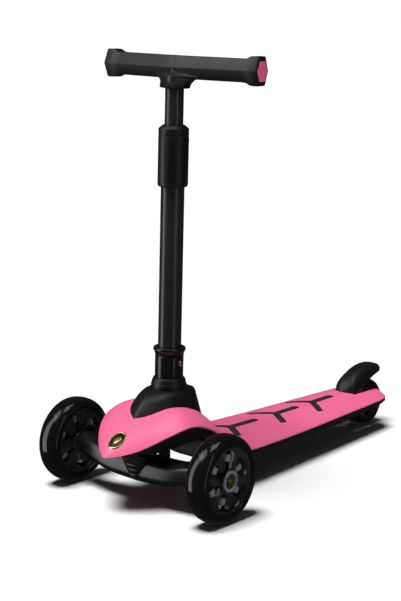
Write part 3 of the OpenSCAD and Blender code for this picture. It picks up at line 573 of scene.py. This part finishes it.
pocketTools = []
for name, place, stem in zip(("Front", "Middle", "Rear"), padSize["places"], padSize["stems"]):
    gap, bevel, depth = padSize["gap"], padSize["bevel"], padSize["depth"]
    pocketTools.append(padLayers("pocket" + name, place, stem, [
        (gap, -depth), (gap, -bevel), (gap + bevel + 0.25, 0.25), (gap + bevel + 0.25, 4)]))
    pad = padLayers("gripPad" + name, place, stem, [
        (0, -depth + 0.02), (0, 0.1), (-0.25, padSize["rise"] - 0.15), (-0.75, padSize["rise"])])
    smooth(pad, 30)
    finished(pad, "gripPad" + name, "deck", padRubber, ["grip_pad_" + name.lower()])

openingSize = {"front": -479.5, "box": (90, 41, 120)}
openingX = axleX / mm + openingSize["front"] - openingSize["box"][0] / 2
wheelOpening = block("wheelOpening", openingSize["box"], (openingX, 0, openingSize["box"][2] / 2))
cut(deckShell, wheelOpening, bootTool, lowTool, *pocketTools)
smooth(deckShell, 28)
finished(deckShell, "deckShell", "deck", pinkShell, ["deck_cover"])
print("deck, boot and pads done")

# Nose badge: a plain domed oval with a rim

badgeSize = {"x": 60, "y": 3.0, "length": 25, "width": 23, "rise": 1.3}


def ovalOnDeck(name, layers, count=64):
    rings = []
    for share, lift in layers:
        ring = []
        for i in range(count):
            angle = 2 * math.pi * i / count
            x = badgeSize["x"] + share * badgeSize["length"] / 2 * math.cos(angle)
            y = badgeSize["y"] + share * badgeSize["width"] / 2 * math.sin(angle)
            ring.append(onDeck(x, y, lift))
        rings.append(ring)
    return lofted(name, rings)


rise = badgeSize["rise"]
badgeRim = ovalOnDeck("badgeRim", [(1.0, -0.8), (1.0, rise * 0.6), (0.975, rise * 0.9), (0.93, rise),
                                   (0.88, rise * 0.9), (0.85, rise * 0.5), (0.84, -0.5)])
smooth(badgeRim, 60)
finished(badgeRim, "badgeRim", "deck", badgeGold, ["nose_badge"])
badgeField = ovalOnDeck("badgeField", [(0.845, -0.9), (0.845, 0.45), (0.6, 0.62), (0.3, 0.74), (0.04, 0.78)])
smooth(badgeField, 60)
finished(badgeField, "badgeField", "deck", glossBlack)
badgeDrop = ovalOnDeck("badgeDrop", [(0.46, 0.3), (0.46, 0.95), (0.40, 1.25), (0.22, 1.5), (0.04, 1.56)])
smooth(badgeDrop, 60)
finished(badgeDrop, "badgeDrop", "deck", badgeGold)

# Neck: collar, sleeve, ring and release button

neckSize = {"sleeve": 19.5, "bore": 15.95, "top": 196.0, "button": 187.0}
bore, sleeve, sleeveTop = neckSize["bore"], neckSize["sleeve"], neckSize["top"]
buttonPlace = (onColumn @ Matrix.Translation((0, 0, neckSize["button"] * mm))
               @ Matrix.Rotation(-math.pi / 2, 4, "X"))
neckCollar = stand(turned("neckCollar", [
    (19.6, 146), (24.5, 146), (24.5, 155.6), (24.2, 157.4), (23.5, 158.2), (23.3, 160.4), (22.6, 162.8),
    (21.4, 164.8), (20.2, 165.8), (19.6, 166)]), onColumn)
soften(neckCollar, 0.35, 3, 30)
smooth(neckCollar, 40)
finished(neckCollar, "neckCollar", "deck", satinBlack, ["neck_collar"])

neckSleeve = stand(turned("neckSleeve", [
    (bore, 120), (sleeve, 120), (sleeve, sleeveTop - 0.4), (sleeve - 0.3, sleeveTop),
    (bore, sleeveTop)]), onColumn)
buttonBore = turned("buttonBore", [(4.6, 12), (4.6, 30)], 48, False)
buttonBore.data.transform(buttonPlace)
cut(neckSleeve, buttonBore)
soften(neckSleeve, 0.3, 2, 50)
smooth(neckSleeve, 35)
finished(neckSleeve, "neckSleeve", "deck", glossBlack, ["neck_sleeve"])

neckRing = stand(turned("neckRing", [
    (bore, sleeveTop + 0.1), (19.4, sleeveTop + 0.1), (19.7, 198), (20.2, 200.2), (21, 202.2),
    (21.9, 203.6), (22.2, 204.6), (22.2, 206), (21.8, 207.2), (20.8, 207.9), (18.5, 208),
    (17.2, 207.9), (16.4, 207.3), (bore, 206.8)]), onColumn)
smooth(neckRing, 55)
finished(neckRing, "neckRing", "deck", glossBlack, ["neck_ring"])

releaseButton = turned("releaseButton", [
    (4.2, 14), (4.2, 19.4), (3.95, 20.6), (3.4, 21.5), (2.6, 22.0), (1.2, 22.1)], 48, False)
releaseButton.data.transform(buttonPlace)
smooth(releaseButton, 60)
finished(releaseButton, "releaseButton", "button", brightSteel, ["release_button"])
buttonRing = turned("buttonRing", [(4.3, 18.2), (5.6, 18.2), (5.6, 19.7), (5.2, 20.1), (4.5, 20.1),
                                   (4.3, 19.8)], 48)
buttonRing.data.transform(buttonPlace)
smooth(buttonRing, 50)
finished(buttonRing, "buttonRing", "deck", satinBlack)

# Tubes

lowerTube = stand(turned("lowerTube", [
    (14.3, 120), (15.9, 120), (15.9, 468.6), (15.5, 469.2), (14.7, 469.2), (14.3, 468.8)], 128), onColumn)
smooth(lowerTube, 35)
finished(lowerTube, "lowerTube", "deck", tubeBlack, ["lower_tube"])
upperTube = stand(turned("upperTube", [
    (10.9, 298), (12.1, 298), (12.5, 298.6), (12.5, 572.4), (12.1, 573), (10.9, 573)], 128), onColumn)
smooth(upperTube, 35)
finished(upperTube, "upperTube", "handlebar", tubeBlack, ["upper_tube"])

# Height clamp

clampSize = {"low": 427.0, "high": 509.0, "radius": 20.5}
low, high, radius = clampSize["low"], clampSize["high"], clampSize["radius"]
clampCollar = stand(turned("clampCollar", [
    (bore, low), (radius - 1.7, low), (radius - 0.6, low + 0.9), (radius - 0.1, low + 2.6), (radius, low + 4),
    (radius, high - 14.6), (radius - 0.55, high - 14.2), (radius - 0.55, high - 13.2), (radius, high - 12.8),
    (radius, high - 9.6), (radius - 0.5, high - 9.2), (radius - 0.5, high - 8.4), (radius, high - 8),
    (radius, high - 5.4), (radius - 0.5, high - 4.4), (radius - 4.2, high - 1.3), (radius - 5.0, high - 0.7),
    (radius - 5.6, high - 0.6), (radius - 5.8, high), (12.9, high), (12.9, high - 30), (bore, high - 32)],
    128), onColumn)


def hugging(name, middle, width, low, high, inner, outer, corner=2.0, count=20):
    # A plate with round corners, bent round the column at the angle middle
    rows = []
    half = width / 2
    tall = (high - low) / 2
    for k in range(count + 1):
        v = -1 + 2 * k / count
        row = []
        for i in range(count + 1):
            u = -1 + 2 * i / count
            y, z = u * half, v * tall
            over = max(abs(y) - (half - corner), 0), max(abs(z) - (tall - corner), 0)
            reach = math.hypot(*over)
            if over[0] > 0 and over[1] > 0 and reach > 0:
                pull = min(corner / reach, 1) if reach > corner else 1
                y = math.copysign(half - corner + over[0] * pull, y)
                z = math.copysign(tall - corner + over[1] * pull, z)
            angle = math.radians(middle) + y / outer
            row.append(Vector((math.cos(angle) * outer * mm, math.sin(angle) * outer * mm,
                               ((low + high) / 2 + z) * mm)))
        rows.append(row)
    plate = draped(name, rows)
    plate.data.transform(onColumn)
    centre = Vector((columnX, 0, 0))
    if sum((f.center - centre).xy.dot(f.normal.xy) for f in plate.data.polygons) < 0:
        editAll(plate)
        bpy.ops.mesh.flip_normals()
        leaveEdit()
    modify(plate, "SOLIDIFY", thickness=(outer - inner) * mm, offset=-1)
    return plate


panelTool = hugging("panelTool", 46, 17.5, low + 7, high - 19, radius - 0.55, radius + 2, 2.6)
gapTool = hugging("gapTool", 88, 2.0, low + 5, high - 16, radius - 2.2, radius + 2, 0.8)
seamTool = hugging("seamTool", 6, 0.8, low + 4, high - 15, radius - 0.5, radius + 2, 0.3)
cut(clampCollar, panelTool, gapTool, seamTool)
soften(clampCollar, 0.22, 2, 40)
smooth(clampCollar, 32)
finished(clampCollar, "clampCollar", "deck", satinBlack, ["clamp_collar"])
clampPanel = hugging("clampPanel", 46, 16.7, low + 7.4, high - 19.4, radius - 0.6, radius - 0.12, 2.3)
soften(clampPanel, 0.18, 2, 50)
smooth(clampPanel, 32)
finished(clampPanel, "clampPanel", "deck", grainBlack)

leverSize = {"wide": 7.6, "thick": 3.6, "length": 50, "hang": 27, "z": 487, "eyeY": -13, "lugX": 3.2,
             "tipZ": 430}
leverZ = leverSize["z"]
leverLow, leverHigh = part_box("clamp_lever")
leverMiddle = (leverLow + leverHigh) / 2
lugX = leverMiddle.x / mm + leverSize["lugX"]
lugs = block("lugs", (13, 12.6, 16), (lugX, -2.3, leverZ))
lugGap = block("lugGap", (30, 2, 40), (lugX, 0, leverZ))
cut(lugs, lugGap)
soften(lugs, 1.2, 3, 40)
smooth(lugs)
finished(lugs, "clampLugs", "deck", satinBlack)
clampLever = block("clampLever", (leverSize["wide"], leverSize["thick"], leverSize["length"]),
                   (leverMiddle.x / mm, leverMiddle.y / mm - 0.9, leverZ - leverSize["hang"]))
pickFaces(clampLever, 2, -1)
bpy.ops.mesh.extrude_region_move(TRANSFORM_OT_translate={"value": (0, -0.6 * mm, -6 * mm)})
bpy.ops.transform.resize(value=(0.8, 0.6, 1), center_override=(
    leverMiddle.x, leverMiddle.y - 1.4 * mm, leverSize["tipZ"] * mm))
leaveEdit()
leverEye = turned("leverEye", [(1.25, -3.8), (2.5, -3.8), (2.5, 3.8), (1.25, 3.8)], 48)
leverEye.data.transform(Matrix.Translation((leverMiddle.x, leverSize["eyeY"] * mm, leverZ * mm))
                        @ Matrix.Rotation(math.pi / 2, 4, "Y"))
soften(clampLever, 0.9, 3, 30)
clampLever = joined("clampLever", [clampLever, leverEye])
smooth(clampLever)
finished(clampLever, "clampLever", "lever", satinBlack, ["clamp_lever"])
print("column done")

# Handlebar

barSize = {"z": 584.6, "back": 7.5, "sweep": 4.7, "half": 131.0, "wide": 28.5, "tall": 30.0, "flange": 19.0,
           "flangeTall": 38.0, "capWide": 24.5, "capTall": 26.0}
barX = columnX / mm - barSize["back"]


def barSection(y, wide, tall):
    flat = 0.26
    return [(wide / 2, 0), (wide * flat, tall / 2), (-wide * flat, tall / 2), (-wide / 2, 0),
            (-wide * flat, -tall / 2), (wide * flat, -tall / 2)], y


def barArm(name, stations, side, closed=True):
    clearSelection()
    rings = []
    for y, wide, tall in stations:
        corners, reach = barSection(y, wide, tall)
        rings.append([Vector((x * mm, reach * mm, z * mm)) for x, z in corners])
    arm = lofted(name, rings, closed)
    place = (Matrix.Translation((barX * mm, 0, barSize["z"] * mm)) @ Matrix.Scale(side, 4, (0, 1, 0))
             @ Matrix.Rotation(math.radians(barSize["sweep"]), 4, "Z"))
    arm.data.transform(place)
    editAll(arm)
    bpy.ops.mesh.normals_make_consistent(inside=False)
    leaveEdit()
    return arm


half, wide, tall = barSize["half"], barSize["wide"], barSize["tall"]
flangeIn, flangeTall = half - barSize["flange"], barSize["flangeTall"]
for side, sideName in ((1, "left"), (-1, "right")):
    grip = barArm("grip", [
        (-1.5, wide, tall), (14, wide, tall), (60, wide, tall), (flangeIn - 8, wide, tall),
        (flangeIn - 1.5, wide + 0.2, tall + 1.0), (flangeIn + 4.5, wide + 0.8, flangeTall - 1.2),
        (flangeIn + 7, wide + 0.9, flangeTall - 0.2), (half - 3.2, wide + 0.9, flangeTall),
        (half - 1.0, wide + 0.2, flangeTall - 1.0), (half - 0.1, wide - 1.6, flangeTall - 2.6)], side)
    capTool = barArm("capTool", [(half - 2.2, barSize["capWide"] + 0.7, barSize["capTall"] + 0.7),
                                 (half + 6, barSize["capWide"] + 0.7, barSize["capTall"] + 0.7)], side)
    cut(grip, capTool)
    soften(grip, 1.0, 4, 24)
    smooth(grip, 24)
    finished(grip, sideName + "Grip", "handlebar", grainBlack, ["grip_" + sideName])
    cap = barArm("cap", [(half - 2.4, barSize["capWide"], barSize["capTall"]),
                         (half - 0.2, barSize["capWide"], barSize["capTall"]),
                         (half + 0.25, barSize["capWide"] - 1, barSize["capTall"] - 1)], side)
    soften(cap, 0.5, 3, 30)
    smooth(cap, 30)
    finished(cap, sideName + "EndInsert", "handlebar", pinkInsert, ["end_cap_" + sideName])

# Boss under the middle: a six-sided foot whose sides sweep up into the bar
bossSize = {"shoulder": 0.42, "rows": [  # height, half width, reach to the front and to the back
    (557.1, 19.0, 15.6, 16.2), (557.9, 20.4, 16.8, 17.4), (561.5, 20.8, 16.9, 17.4),
    (564.5, 21.8, 16.9, 17.2), (567.2, 23.9, 16.8, 16.8), (569.4, 26.9, 16.7, 16.2),
    (571.2, 31.0, 16.6, 15.6), (572.4, 36.5, 16.5, 15.0), (573.0, 42.0, 16.4, 14.6),
    (576.5, 30.0, 16.3, 14.3), (580.0, 17.0, 16.0, 14.2), (584.4, 4.0, 15.6, 14.0)]}
shoulder = bossSize["shoulder"]
foot = columnX / mm
rings = []
for z, out, front, back in bossSize["rows"]:
    lean = (barX - foot) * min(max((z - 560) / 12, 0), 1)
    middle = foot + lean
    rings.append([Vector((x * mm, y * mm, z * mm)) for x, y in (
        (middle + front, 0), (middle + front * shoulder, out), (middle - back * shoulder, out),
        (middle - back, 0), (middle - back * shoulder, -out), (middle + front * shoulder, -out))])
barBoss = lofted("barBoss", rings)
soften(barBoss, 1.1, 4, 26)
smooth(barBoss, 26)
finished(barBoss, "barBoss", "handlebar", grainBlack, ["bar_boss"])
print("handlebar done")

# Front beam

beamHalf = 112
beamSize = {"height": [(0, 47.5), (50, 49.0), (89.6, 55.5), (beamHalf, 60.0)],
            "tall": [(0, 17.8), (56, 16.2), (90, 15.0), (beamHalf, 16.0)],
            "deep": [(0, 23.0), (56, 22.0), (90, 18.5), (beamHalf, 16.0)],
            "square": [(0, 0.58), (80, 0.62), (104, 0.95), (beamHalf, 1.0)],
            "grooveTurn": 318, "grooveWidth": 5.5, "grooveDepth": 0.055}


def beamRing(y, count=64):
    reach = abs(y)
    z, tall, deep, square = (curveAt(beamSize[key], reach) for key in ("height", "tall", "deep", "square"))
    ring = []
    for i in range(count):
        angle = 2 * math.pi * i / count
        c, s = math.cos(angle), math.sin(angle)
        fall = (math.degrees(angle) - beamSize["grooveTurn"]) / beamSize["grooveWidth"]
        # a groove above the lower front lip
        groove = 1 - beamSize["grooveDepth"] * math.exp(-fall ** 2) * min(max((100 - reach) / 12, 0), 1)
        ring.append(at(deep * signedPower(c, square) * groove, y, z + tall * signedPower(s, square) * groove))
    return ring


axleBeam = lofted("axleBeam", [beamRing(y) for y in spread(-beamHalf, beamHalf, 90)])
soften(axleBeam, 1.2, 3, 60)
smooth(axleBeam, 45)
finished(axleBeam, "axleBeam", "truck", glossBlack, ["axle_beam"])

fairingSize = {"top": 71.0, "low": 36.5, "ribs": 5, "half": 11.5, "flare": 12.5, "front": 24.5, "lean": 8.5,
               "round": 6.5, "wall": 7}
rows = []
for k in range(57):
    share = k / 56
    z = fairingSize["low"] + (fairingSize["top"] - fairingSize["low"]) * share
    across = fairingSize["half"] + fairingSize["flare"] * share ** 0.8
    front = fairingSize["front"] + fairingSize["lean"] * share ** 1.3
    rib = (0.5 + 0.5 * math.cos(2 * math.pi * share * fairingSize["ribs"])) ** 3
    row = []
    for i in range(33):
        u = -1 + 2 * i / 32
        groove = rib * min(max((0.86 - abs(u)) / 0.1, 0), 1) * min(max((share - 0.04) * 20, 0), 1)
        row.append(at(front - fairingSize["round"] * abs(u) ** 2.6 - groove, across * u, z))
    rows.append(row)
beamFairing = draped("beamFairing", rows)
faceAlong(beamFairing, 0)
modify(beamFairing, "SOLIDIFY", thickness=fairingSize["wall"] * mm, offset=-1)
soften(beamFairing, 0.6, 3, 60)
smooth(beamFairing, 40)
finished(beamFairing, "beamFairing", "truck", satinBlack, ["beam_fairing"])
print("beam done")

# Front wheels

wheelSize = {"radius": 60.0, "rim": 46.0, "half": 17.5, "round": 2.35, "turn": 22.0}


def tyreProfile(radius, rim, half, power, steps=22):
    profile = [(rim - 1.0, -half + 2.4), (rim - 0.4, -half + 0.7), (rim + 0.4, -half + 0.1),
               (rim + 1.3, -half)]
    for i in range(steps + 1):
        angle = math.pi * (i / steps) - math.pi / 2
        c, s = math.cos(angle), math.sin(angle)
        profile.append((rim + 2 + (radius - rim - 2) * abs(c) ** (2 / power),
                        half * signedPower(s, 2 / power)))
    return profile + [(rim + 1.3, half), (rim + 0.4, half - 0.1), (rim - 0.4, half - 0.7),
                      (rim - 1.0, half - 2.4)]


def wheelPlace(side):  # outwards is +Z before this
    return (Matrix.Translation((axleX, side * wheelY, wheelZ))
            @ Matrix.Rotation(math.radians(-90 * side), 4, "X"))


tyre = turned("tyre", tyreProfile(wheelSize["radius"], wheelSize["rim"], wheelSize["half"],
                                  wheelSize["round"]), 160)
smooth(tyre, 50)

# Hub: rim, boss and six broad faceted spokes
rimRing = turned("rimRing", [
    (39.6, -11.5), (41.2, -13.6), (44.8, -14.4), (45.6, -14.0), (45.9, -12), (45.9, 12.6), (45.4, 14.6),
    (44.2, 15.2), (42.6, 14.6), (41.2, 12.6), (40.2, 9.0), (39.6, 4)], 128)
hubBoss = turned("hubBoss", [
    (6.2, -15.2), (12.5, -15.2), (14.6, -13.4), (15.2, -8), (15.4, 9.2), (14.9, 11.6), (14.0, 12.1),
    (6.2, 12.1)], 96)


def spokeShape(name):
    rows = [  # radius, half width, foot, shoulder height, ridge height
        (13.5, 7.0, -9.0, 8.6, 11.4), (22, 8.6, -8.0, 5.6, 10.8), (30, 10.4, -8.0, 4.6, 10.2),
        (36.5, 13.6, -8.5, 6.4, 9.8), (41.4, 18.0, -9.5, 10.4, 11.2)]
    rings = []
    for reach, half, foot, shoulder, ridge in rows:
        rings.append([Vector((reach * mm, y * mm, z * mm)) for y, z in (
            (-half, foot), (half, foot), (half, shoulder), (half * 0.28, ridge), (-half * 0.28, ridge),
            (-half, shoulder))])
    spoke = lofted(name, rings)
    soften(spoke, 0.45, 2, 25)
    return spoke


spokes = around(spokeShape("spoke"), "spokes", 6, "Z", Vector((0, 0, 0)), wheelSize["turn"] + 30)
hub = joined("hub", [rimRing, hubBoss, spokes])
smooth(hub, 22)

# Light blocks between the spokes, each in its holder
lightBlock = block("lightBlock", (10, 8.6, 11.5), (29.2, 0, 2.2))
pickFaces(lightBlock, 2, 1)
bpy.ops.mesh.inset(thickness=1.1 * mm)
bpy.ops.transform.translate(value=(0, 0, 0.7 * mm))
leaveEdit()
soften(lightBlock, 0.5, 2, 25)
smooth(lightBlock, 30)
lights = around(lightBlock, "lights", 6, "Z", Vector((0, 0, 0)), wheelSize["turn"])
holder = block("holder", (12, 3.2, 7.5), (19.5, 0, 0.5))
soften(holder, 0.7, 2, 30)
holders = around(holder, "holders", 6, "Z", Vector((0, 0, 0)), wheelSize["turn"])
smooth(holders, 30)

# Hub cap: dished ring with fine radial teeth round a plain oval
capDish = turned("capDish", [
    (15.4, 12.2), (15.5, 14.4), (15.1, 15.6), (14.4, 16.1), (13.6, 15.7), (9.8, 14.9), (9.2, 15.3),
    (8.2, 16.0), (5.0, 16.5), (1.5, 16.7)], 96, False)
smooth(capDish, 40)
tooth = block("tooth", (4.6, 1.05, 1.5), (12.5, 0, 15.75))
soften(tooth, 0.2, 1, 30)
teeth = around(tooth, "teeth", 36, "Z", Vector((0, 0, 0)))
smooth(teeth, 30)
emblem = turned("emblem", [(8.8, 15.2), (8.8, 16.9), (8.4, 17.2), (7.3, 17.2), (6.9, 17.0), (6.8, 16.4)], 64)
emblem.data.transform(Matrix.Diagonal((0.82, 1.0, 1, 1)))
smooth(emblem, 40)
emblemDrop = turned("emblemDrop", [(4.2, 16.0), (4.2, 16.95), (3.6, 17.3), (1.2, 17.4)], 48, False)
emblemDrop.data.transform(Matrix.Diagonal((0.82, 1.0, 1, 1)))
smooth(emblemDrop, 40)
emblem = joined("emblem", [emblem, emblemDrop])

wheelParts = [
    (tyre, "Tyre", smokeTyre, "smoked_tyre", "tyre_"), (hub, "Hub", smokeHub, "hub_black", "hub_"),
    (lights, "Lights", paleLens, "light_block", "lights_"),
    (holders, "LightHolders", smokeHub, "hub_black", None),
    (capDish, "CapDish", smokeHub, "clear_cap", "hub_cap_"),
    (teeth, "CapTeeth", paleTeeth, "clear_cap", None),
    (emblem, "CapEmblem", badgeGold, "clear_cap", None)]
for side, sideName in ((1, "left"), (-1, "right")):
    for part, partName, finish, slot, node in wheelParts:
        piece = twin(part, sideName + partName, wheelPlace(side))
        finished(piece, sideName + partName, "wheel_" + sideName, finish,
                 [node + sideName] if node else [])
for row in wheelParts:
    bpy.data.objects.remove(row[0])
print("front wheels done")

# Rear wheel

rearSize = {"radius": 38.0, "rim": 26.0, "half": 16.5, "round": 2.5}
rearPlace = Matrix.Translation((rearX, 0, rearZ)) @ Matrix.Rotation(-math.pi / 2, 4, "X")
rearTyre = stand(turned("rearTyre", tyreProfile(
    rearSize["radius"], rearSize["rim"], rearSize["half"], rearSize["round"]), 128), rearPlace)
smooth(rearTyre, 50)
finished(rearTyre, "rearTyre", "wheel_rear", smokeTyre, ["rear_tyre"])
rearRim = turned("rearRim", [
    (21.6, -10.5), (23.2, -13.2), (25.2, -14.2), (25.9, -13), (25.9, 13), (25.2, 14.2), (23.2, 13.2),
    (21.6, 10.5)], 96)
rearBoss = turned("rearBoss", [
    (6.2, -14.4), (11.8, -14.4), (13.2, -13.4), (13.6, -9), (13.6, 9), (13.2, 13.4), (11.8, 14.4),
    (6.2, 14.4)], 96)
rearSpoke = block("rearSpoke", (11, 7.5, 15), (17.6, 0, 0))
pickFaces(rearSpoke, 0, 1)
bpy.ops.transform.resize(value=(1, 1.7, 1.35))
leaveEdit()
soften(rearSpoke, 0.8, 2, 25)
rearSpokes = around(rearSpoke, "rearSpokes", 6, "Z", Vector((0, 0, 0)), 15)
rearHub = stand(joined("rearHub", [rearRim, rearBoss, rearSpokes]), rearPlace)
smooth(rearHub, 26)
finished(rearHub, "rearHub", "wheel_rear", smokeHub, ["rear_hub"])

# Brake fender

fenderSize = {"tail": -563, "front": -473.5, "wall": 2.6, "power": 0.72}
fenderTail, fenderFront = fenderSize["tail"], fenderSize["front"]
fenderRidge = [(fenderTail, 95.6), (-556, 98.2), (-545, 99.4), (-532, 98.9), (-517, 96.6),
               (-503, 92.6), (-492, 87.2), (-483.5, 80.4), (-477.8, 73.6), (-474.6, 67.6),
               (fenderFront, 64.2)]
fenderFoot = [(fenderTail, 91.0), (-558, 88.2), (-552, 87.0), (-543, 85.6), (-533, 83.0), (-522, 78.4),
              (-512, 72.6), (-506.5, 67.6), (-503, 63.6), (-498, 62.4), (-488, 62.8), (-478, 63.4),
              (fenderFront, 63.8)]
fenderPlan = [(fenderTail, 8.0), (-561.5, 12.0), (-558, 15.2), (-552, 17.6), (-543, 18.9),
              (-525, 19.4), (-500, 19.5), (-488, 19.2), (-481, 17.0), (-476.5, 12.0), (-474.2, 6.0),
              (fenderFront, 2.0)]


def fenderRow(x, count=40):
    row = []
    power = fenderSize["power"]
    low, high, out = (curveAt(t, x) for t in (fenderFoot, fenderRidge, fenderPlan))
    for i in range(count + 1):
        angle = math.pi * (i / count) - math.pi / 2
        c, s = math.cos(angle), math.sin(angle)
        row.append(at(x, out * signedPower(s, power), low + (high - low) * abs(c) ** power))
    return row


brakeFender = draped("brakeFender", [fenderRow(x) for x in
                                     spread(fenderTail, -548, 7, 0.6) + spread(-545, fenderFront, 34, 1.5)])
faceAlong(brakeFender, 2)
modify(brakeFender, "SOLIDIFY", thickness=fenderSize["wall"] * mm, offset=-1)
soften(brakeFender, 0.7, 3, 50)
smooth(brakeFender, 40)
finished(brakeFender, "brakeFender", "brake", satinBlack, ["brake_fender"])
pinLow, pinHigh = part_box("fender_pin")
pinX, pinZ = (pinLow.x + pinHigh.x) / 2, (pinLow.z + pinHigh.z) / 2
barrels = []
for side in (-1, 1):
    barrel = turned("barrel", [(2.6, 6), (4.9, 6), (5.4, 6.6), (5.4, 17.6), (4.9, 18.2), (2.6, 18.2)], 64)
    barrel.data.transform(Matrix.Translation((pinX, 0, pinZ)) @ Matrix.Rotation(-side * math.pi / 2, 4, "X"))
    rib = lofted("rib", [[at(x, side * y, z) for x, z in (
        (-490.5, 53), (-483.5, 53), (-480.5, 66), (-483, 78), (-494, 86), (-505, 90), (-508, 87), (-495, 79),
        (-489, 69))] for y in (8, 11)])
    tidyShell(rib)
    soften(rib, 0.5, 2, 40)
    barrels += [barrel, rib]
fenderHinge = joined("fenderHinge", barrels)
smooth(fenderHinge, 30)
finished(fenderHinge, "fenderHinge", "brake", satinBlack)
print("rear done")

# Floor, light and camera

studio = {"floorSize": 60, "sun": 3.6, "sunSpread": 24, "fill": 0.03, "backdrop": 1.0}
clearSelection()
bpy.ops.mesh.primitive_plane_add(size=studio["floorSize"], location=(0, 0, 0))
studioFloor = take("studioFloor")
floorFinish = Finish("floorFinish", Roughness=0.95, Specular_IOR_Level=0.0)
floorFinish.set(Base_Color=floorFinish.mix(floorFinish.noise(0.8, 2), (0.93, 0.93, 0.93), (0.95, 0.95, 0.95)))
studioFloor.data.materials.append(floorFinish.material)
studioFloor.visible_glossy = False

world = bpy.data.worlds.new("studioWorld")
bpy.context.scene.world = world
world.use_nodes = True
nodes, links = world.node_tree.nodes, world.node_tree.links
nodes["Background"].inputs["Color"].default_value = (1, 1, 1, 1)
backdrop = nodes.new("ShaderNodeBackground")
backdrop.inputs["Color"].default_value = (1, 1, 1, 1)
backdrop.inputs["Strength"].default_value = studio["backdrop"]
nodes["Background"].inputs["Strength"].default_value = studio["fill"]
rays = nodes.new("ShaderNodeLightPath")
blendWorld = nodes.new("ShaderNodeMixShader")
links.new(rays.outputs["Is Camera Ray"], blendWorld.inputs[0])
links.new(nodes["Background"].outputs[0], blendWorld.inputs[1])
links.new(backdrop.outputs[0], blendWorld.inputs[2])
links.new(blendWorld.outputs[0], nodes["World Output"].inputs["Surface"])


def softbox(name, place, target, size, power):  # seen only in highlights
    bpy.ops.object.light_add(type="AREA", location=place)
    lamp = bpy.context.active_object
    lamp.name = name
    lamp.data.shape = "RECTANGLE"
    lamp.data.size, lamp.data.size_y = size
    lamp.data.energy = power
    lamp.visible_diffuse = False
    lamp.rotation_euler = (Vector(target) - Vector(place)).to_track_quat("-Z", "Y").to_euler()
    return lamp


clearSelection()
bpy.ops.object.light_add(type="SUN", location=(0, 0, 3))
overhead = bpy.context.active_object
overhead.name = "overheadLight"
overhead.data.energy = studio["sun"]
overhead.data.angle = math.radians(studio["sunSpread"])
overhead.visible_glossy = False
overhead.rotation_euler = (math.radians(4), math.radians(15), 0)
softbox("frontLight", (1.9, -1.7, 1.2), (0, 0, 1.2), (0.8, 4.4), 34)
softbox("nearLight", (0.6, 2.6, 1.2), (0, 0, 1.2), (0.35, 4.0), 7)
softbox("barLight", (1.3, -1.1, 2.4), (0, 0, 0.5), (1.5, 1.1), 12)
softbox("topLight", (0.1, 0.1, 2.6), (0, 0, 0.3), (1.2, 1.2), 14)

lens = {"place": (1.5075 + axleX, 1.3179, 0.6789), "turn": 39.63, "dip": 11.28, "roll": 1.26,
        "focus": 1533.6, "rows": 601, "shiftX": 12.7, "shiftY": -0.4, "sensor": 36}
turn, dip, roll = (math.radians(lens[key]) for key in ("turn", "dip", "roll"))
ahead = Vector((-math.cos(turn) * math.cos(dip), -math.sin(turn) * math.cos(dip), -math.sin(dip)))
right = ahead.cross(Vector((0, 0, 1))).normalized()
up = right.cross(ahead)
rightRolled = right * math.cos(roll) + up * math.sin(roll)
upRolled = -right * math.sin(roll) + up * math.cos(roll)
view = Matrix((rightRolled, upRolled, -ahead)).transposed().to_4x4()
view.translation = lens["place"]
bpy.ops.object.camera_add()
camera = bpy.context.active_object
camera.name = "camera"
camera.matrix_world = view
camera.data.sensor_fit = "VERTICAL"
camera.data.sensor_height = lens["sensor"]
camera.data.lens = lens["focus"] * lens["sensor"] / lens["rows"]
camera.data.shift_x = lens["shiftX"] / lens["rows"]
camera.data.shift_y = lens["shiftY"] / lens["rows"]
camera.data.clip_end = 60
bpy.context.scene.camera = camera
bpy.context.scene.view_settings.view_transform = "Standard"

clearSelection()
print("scene done")
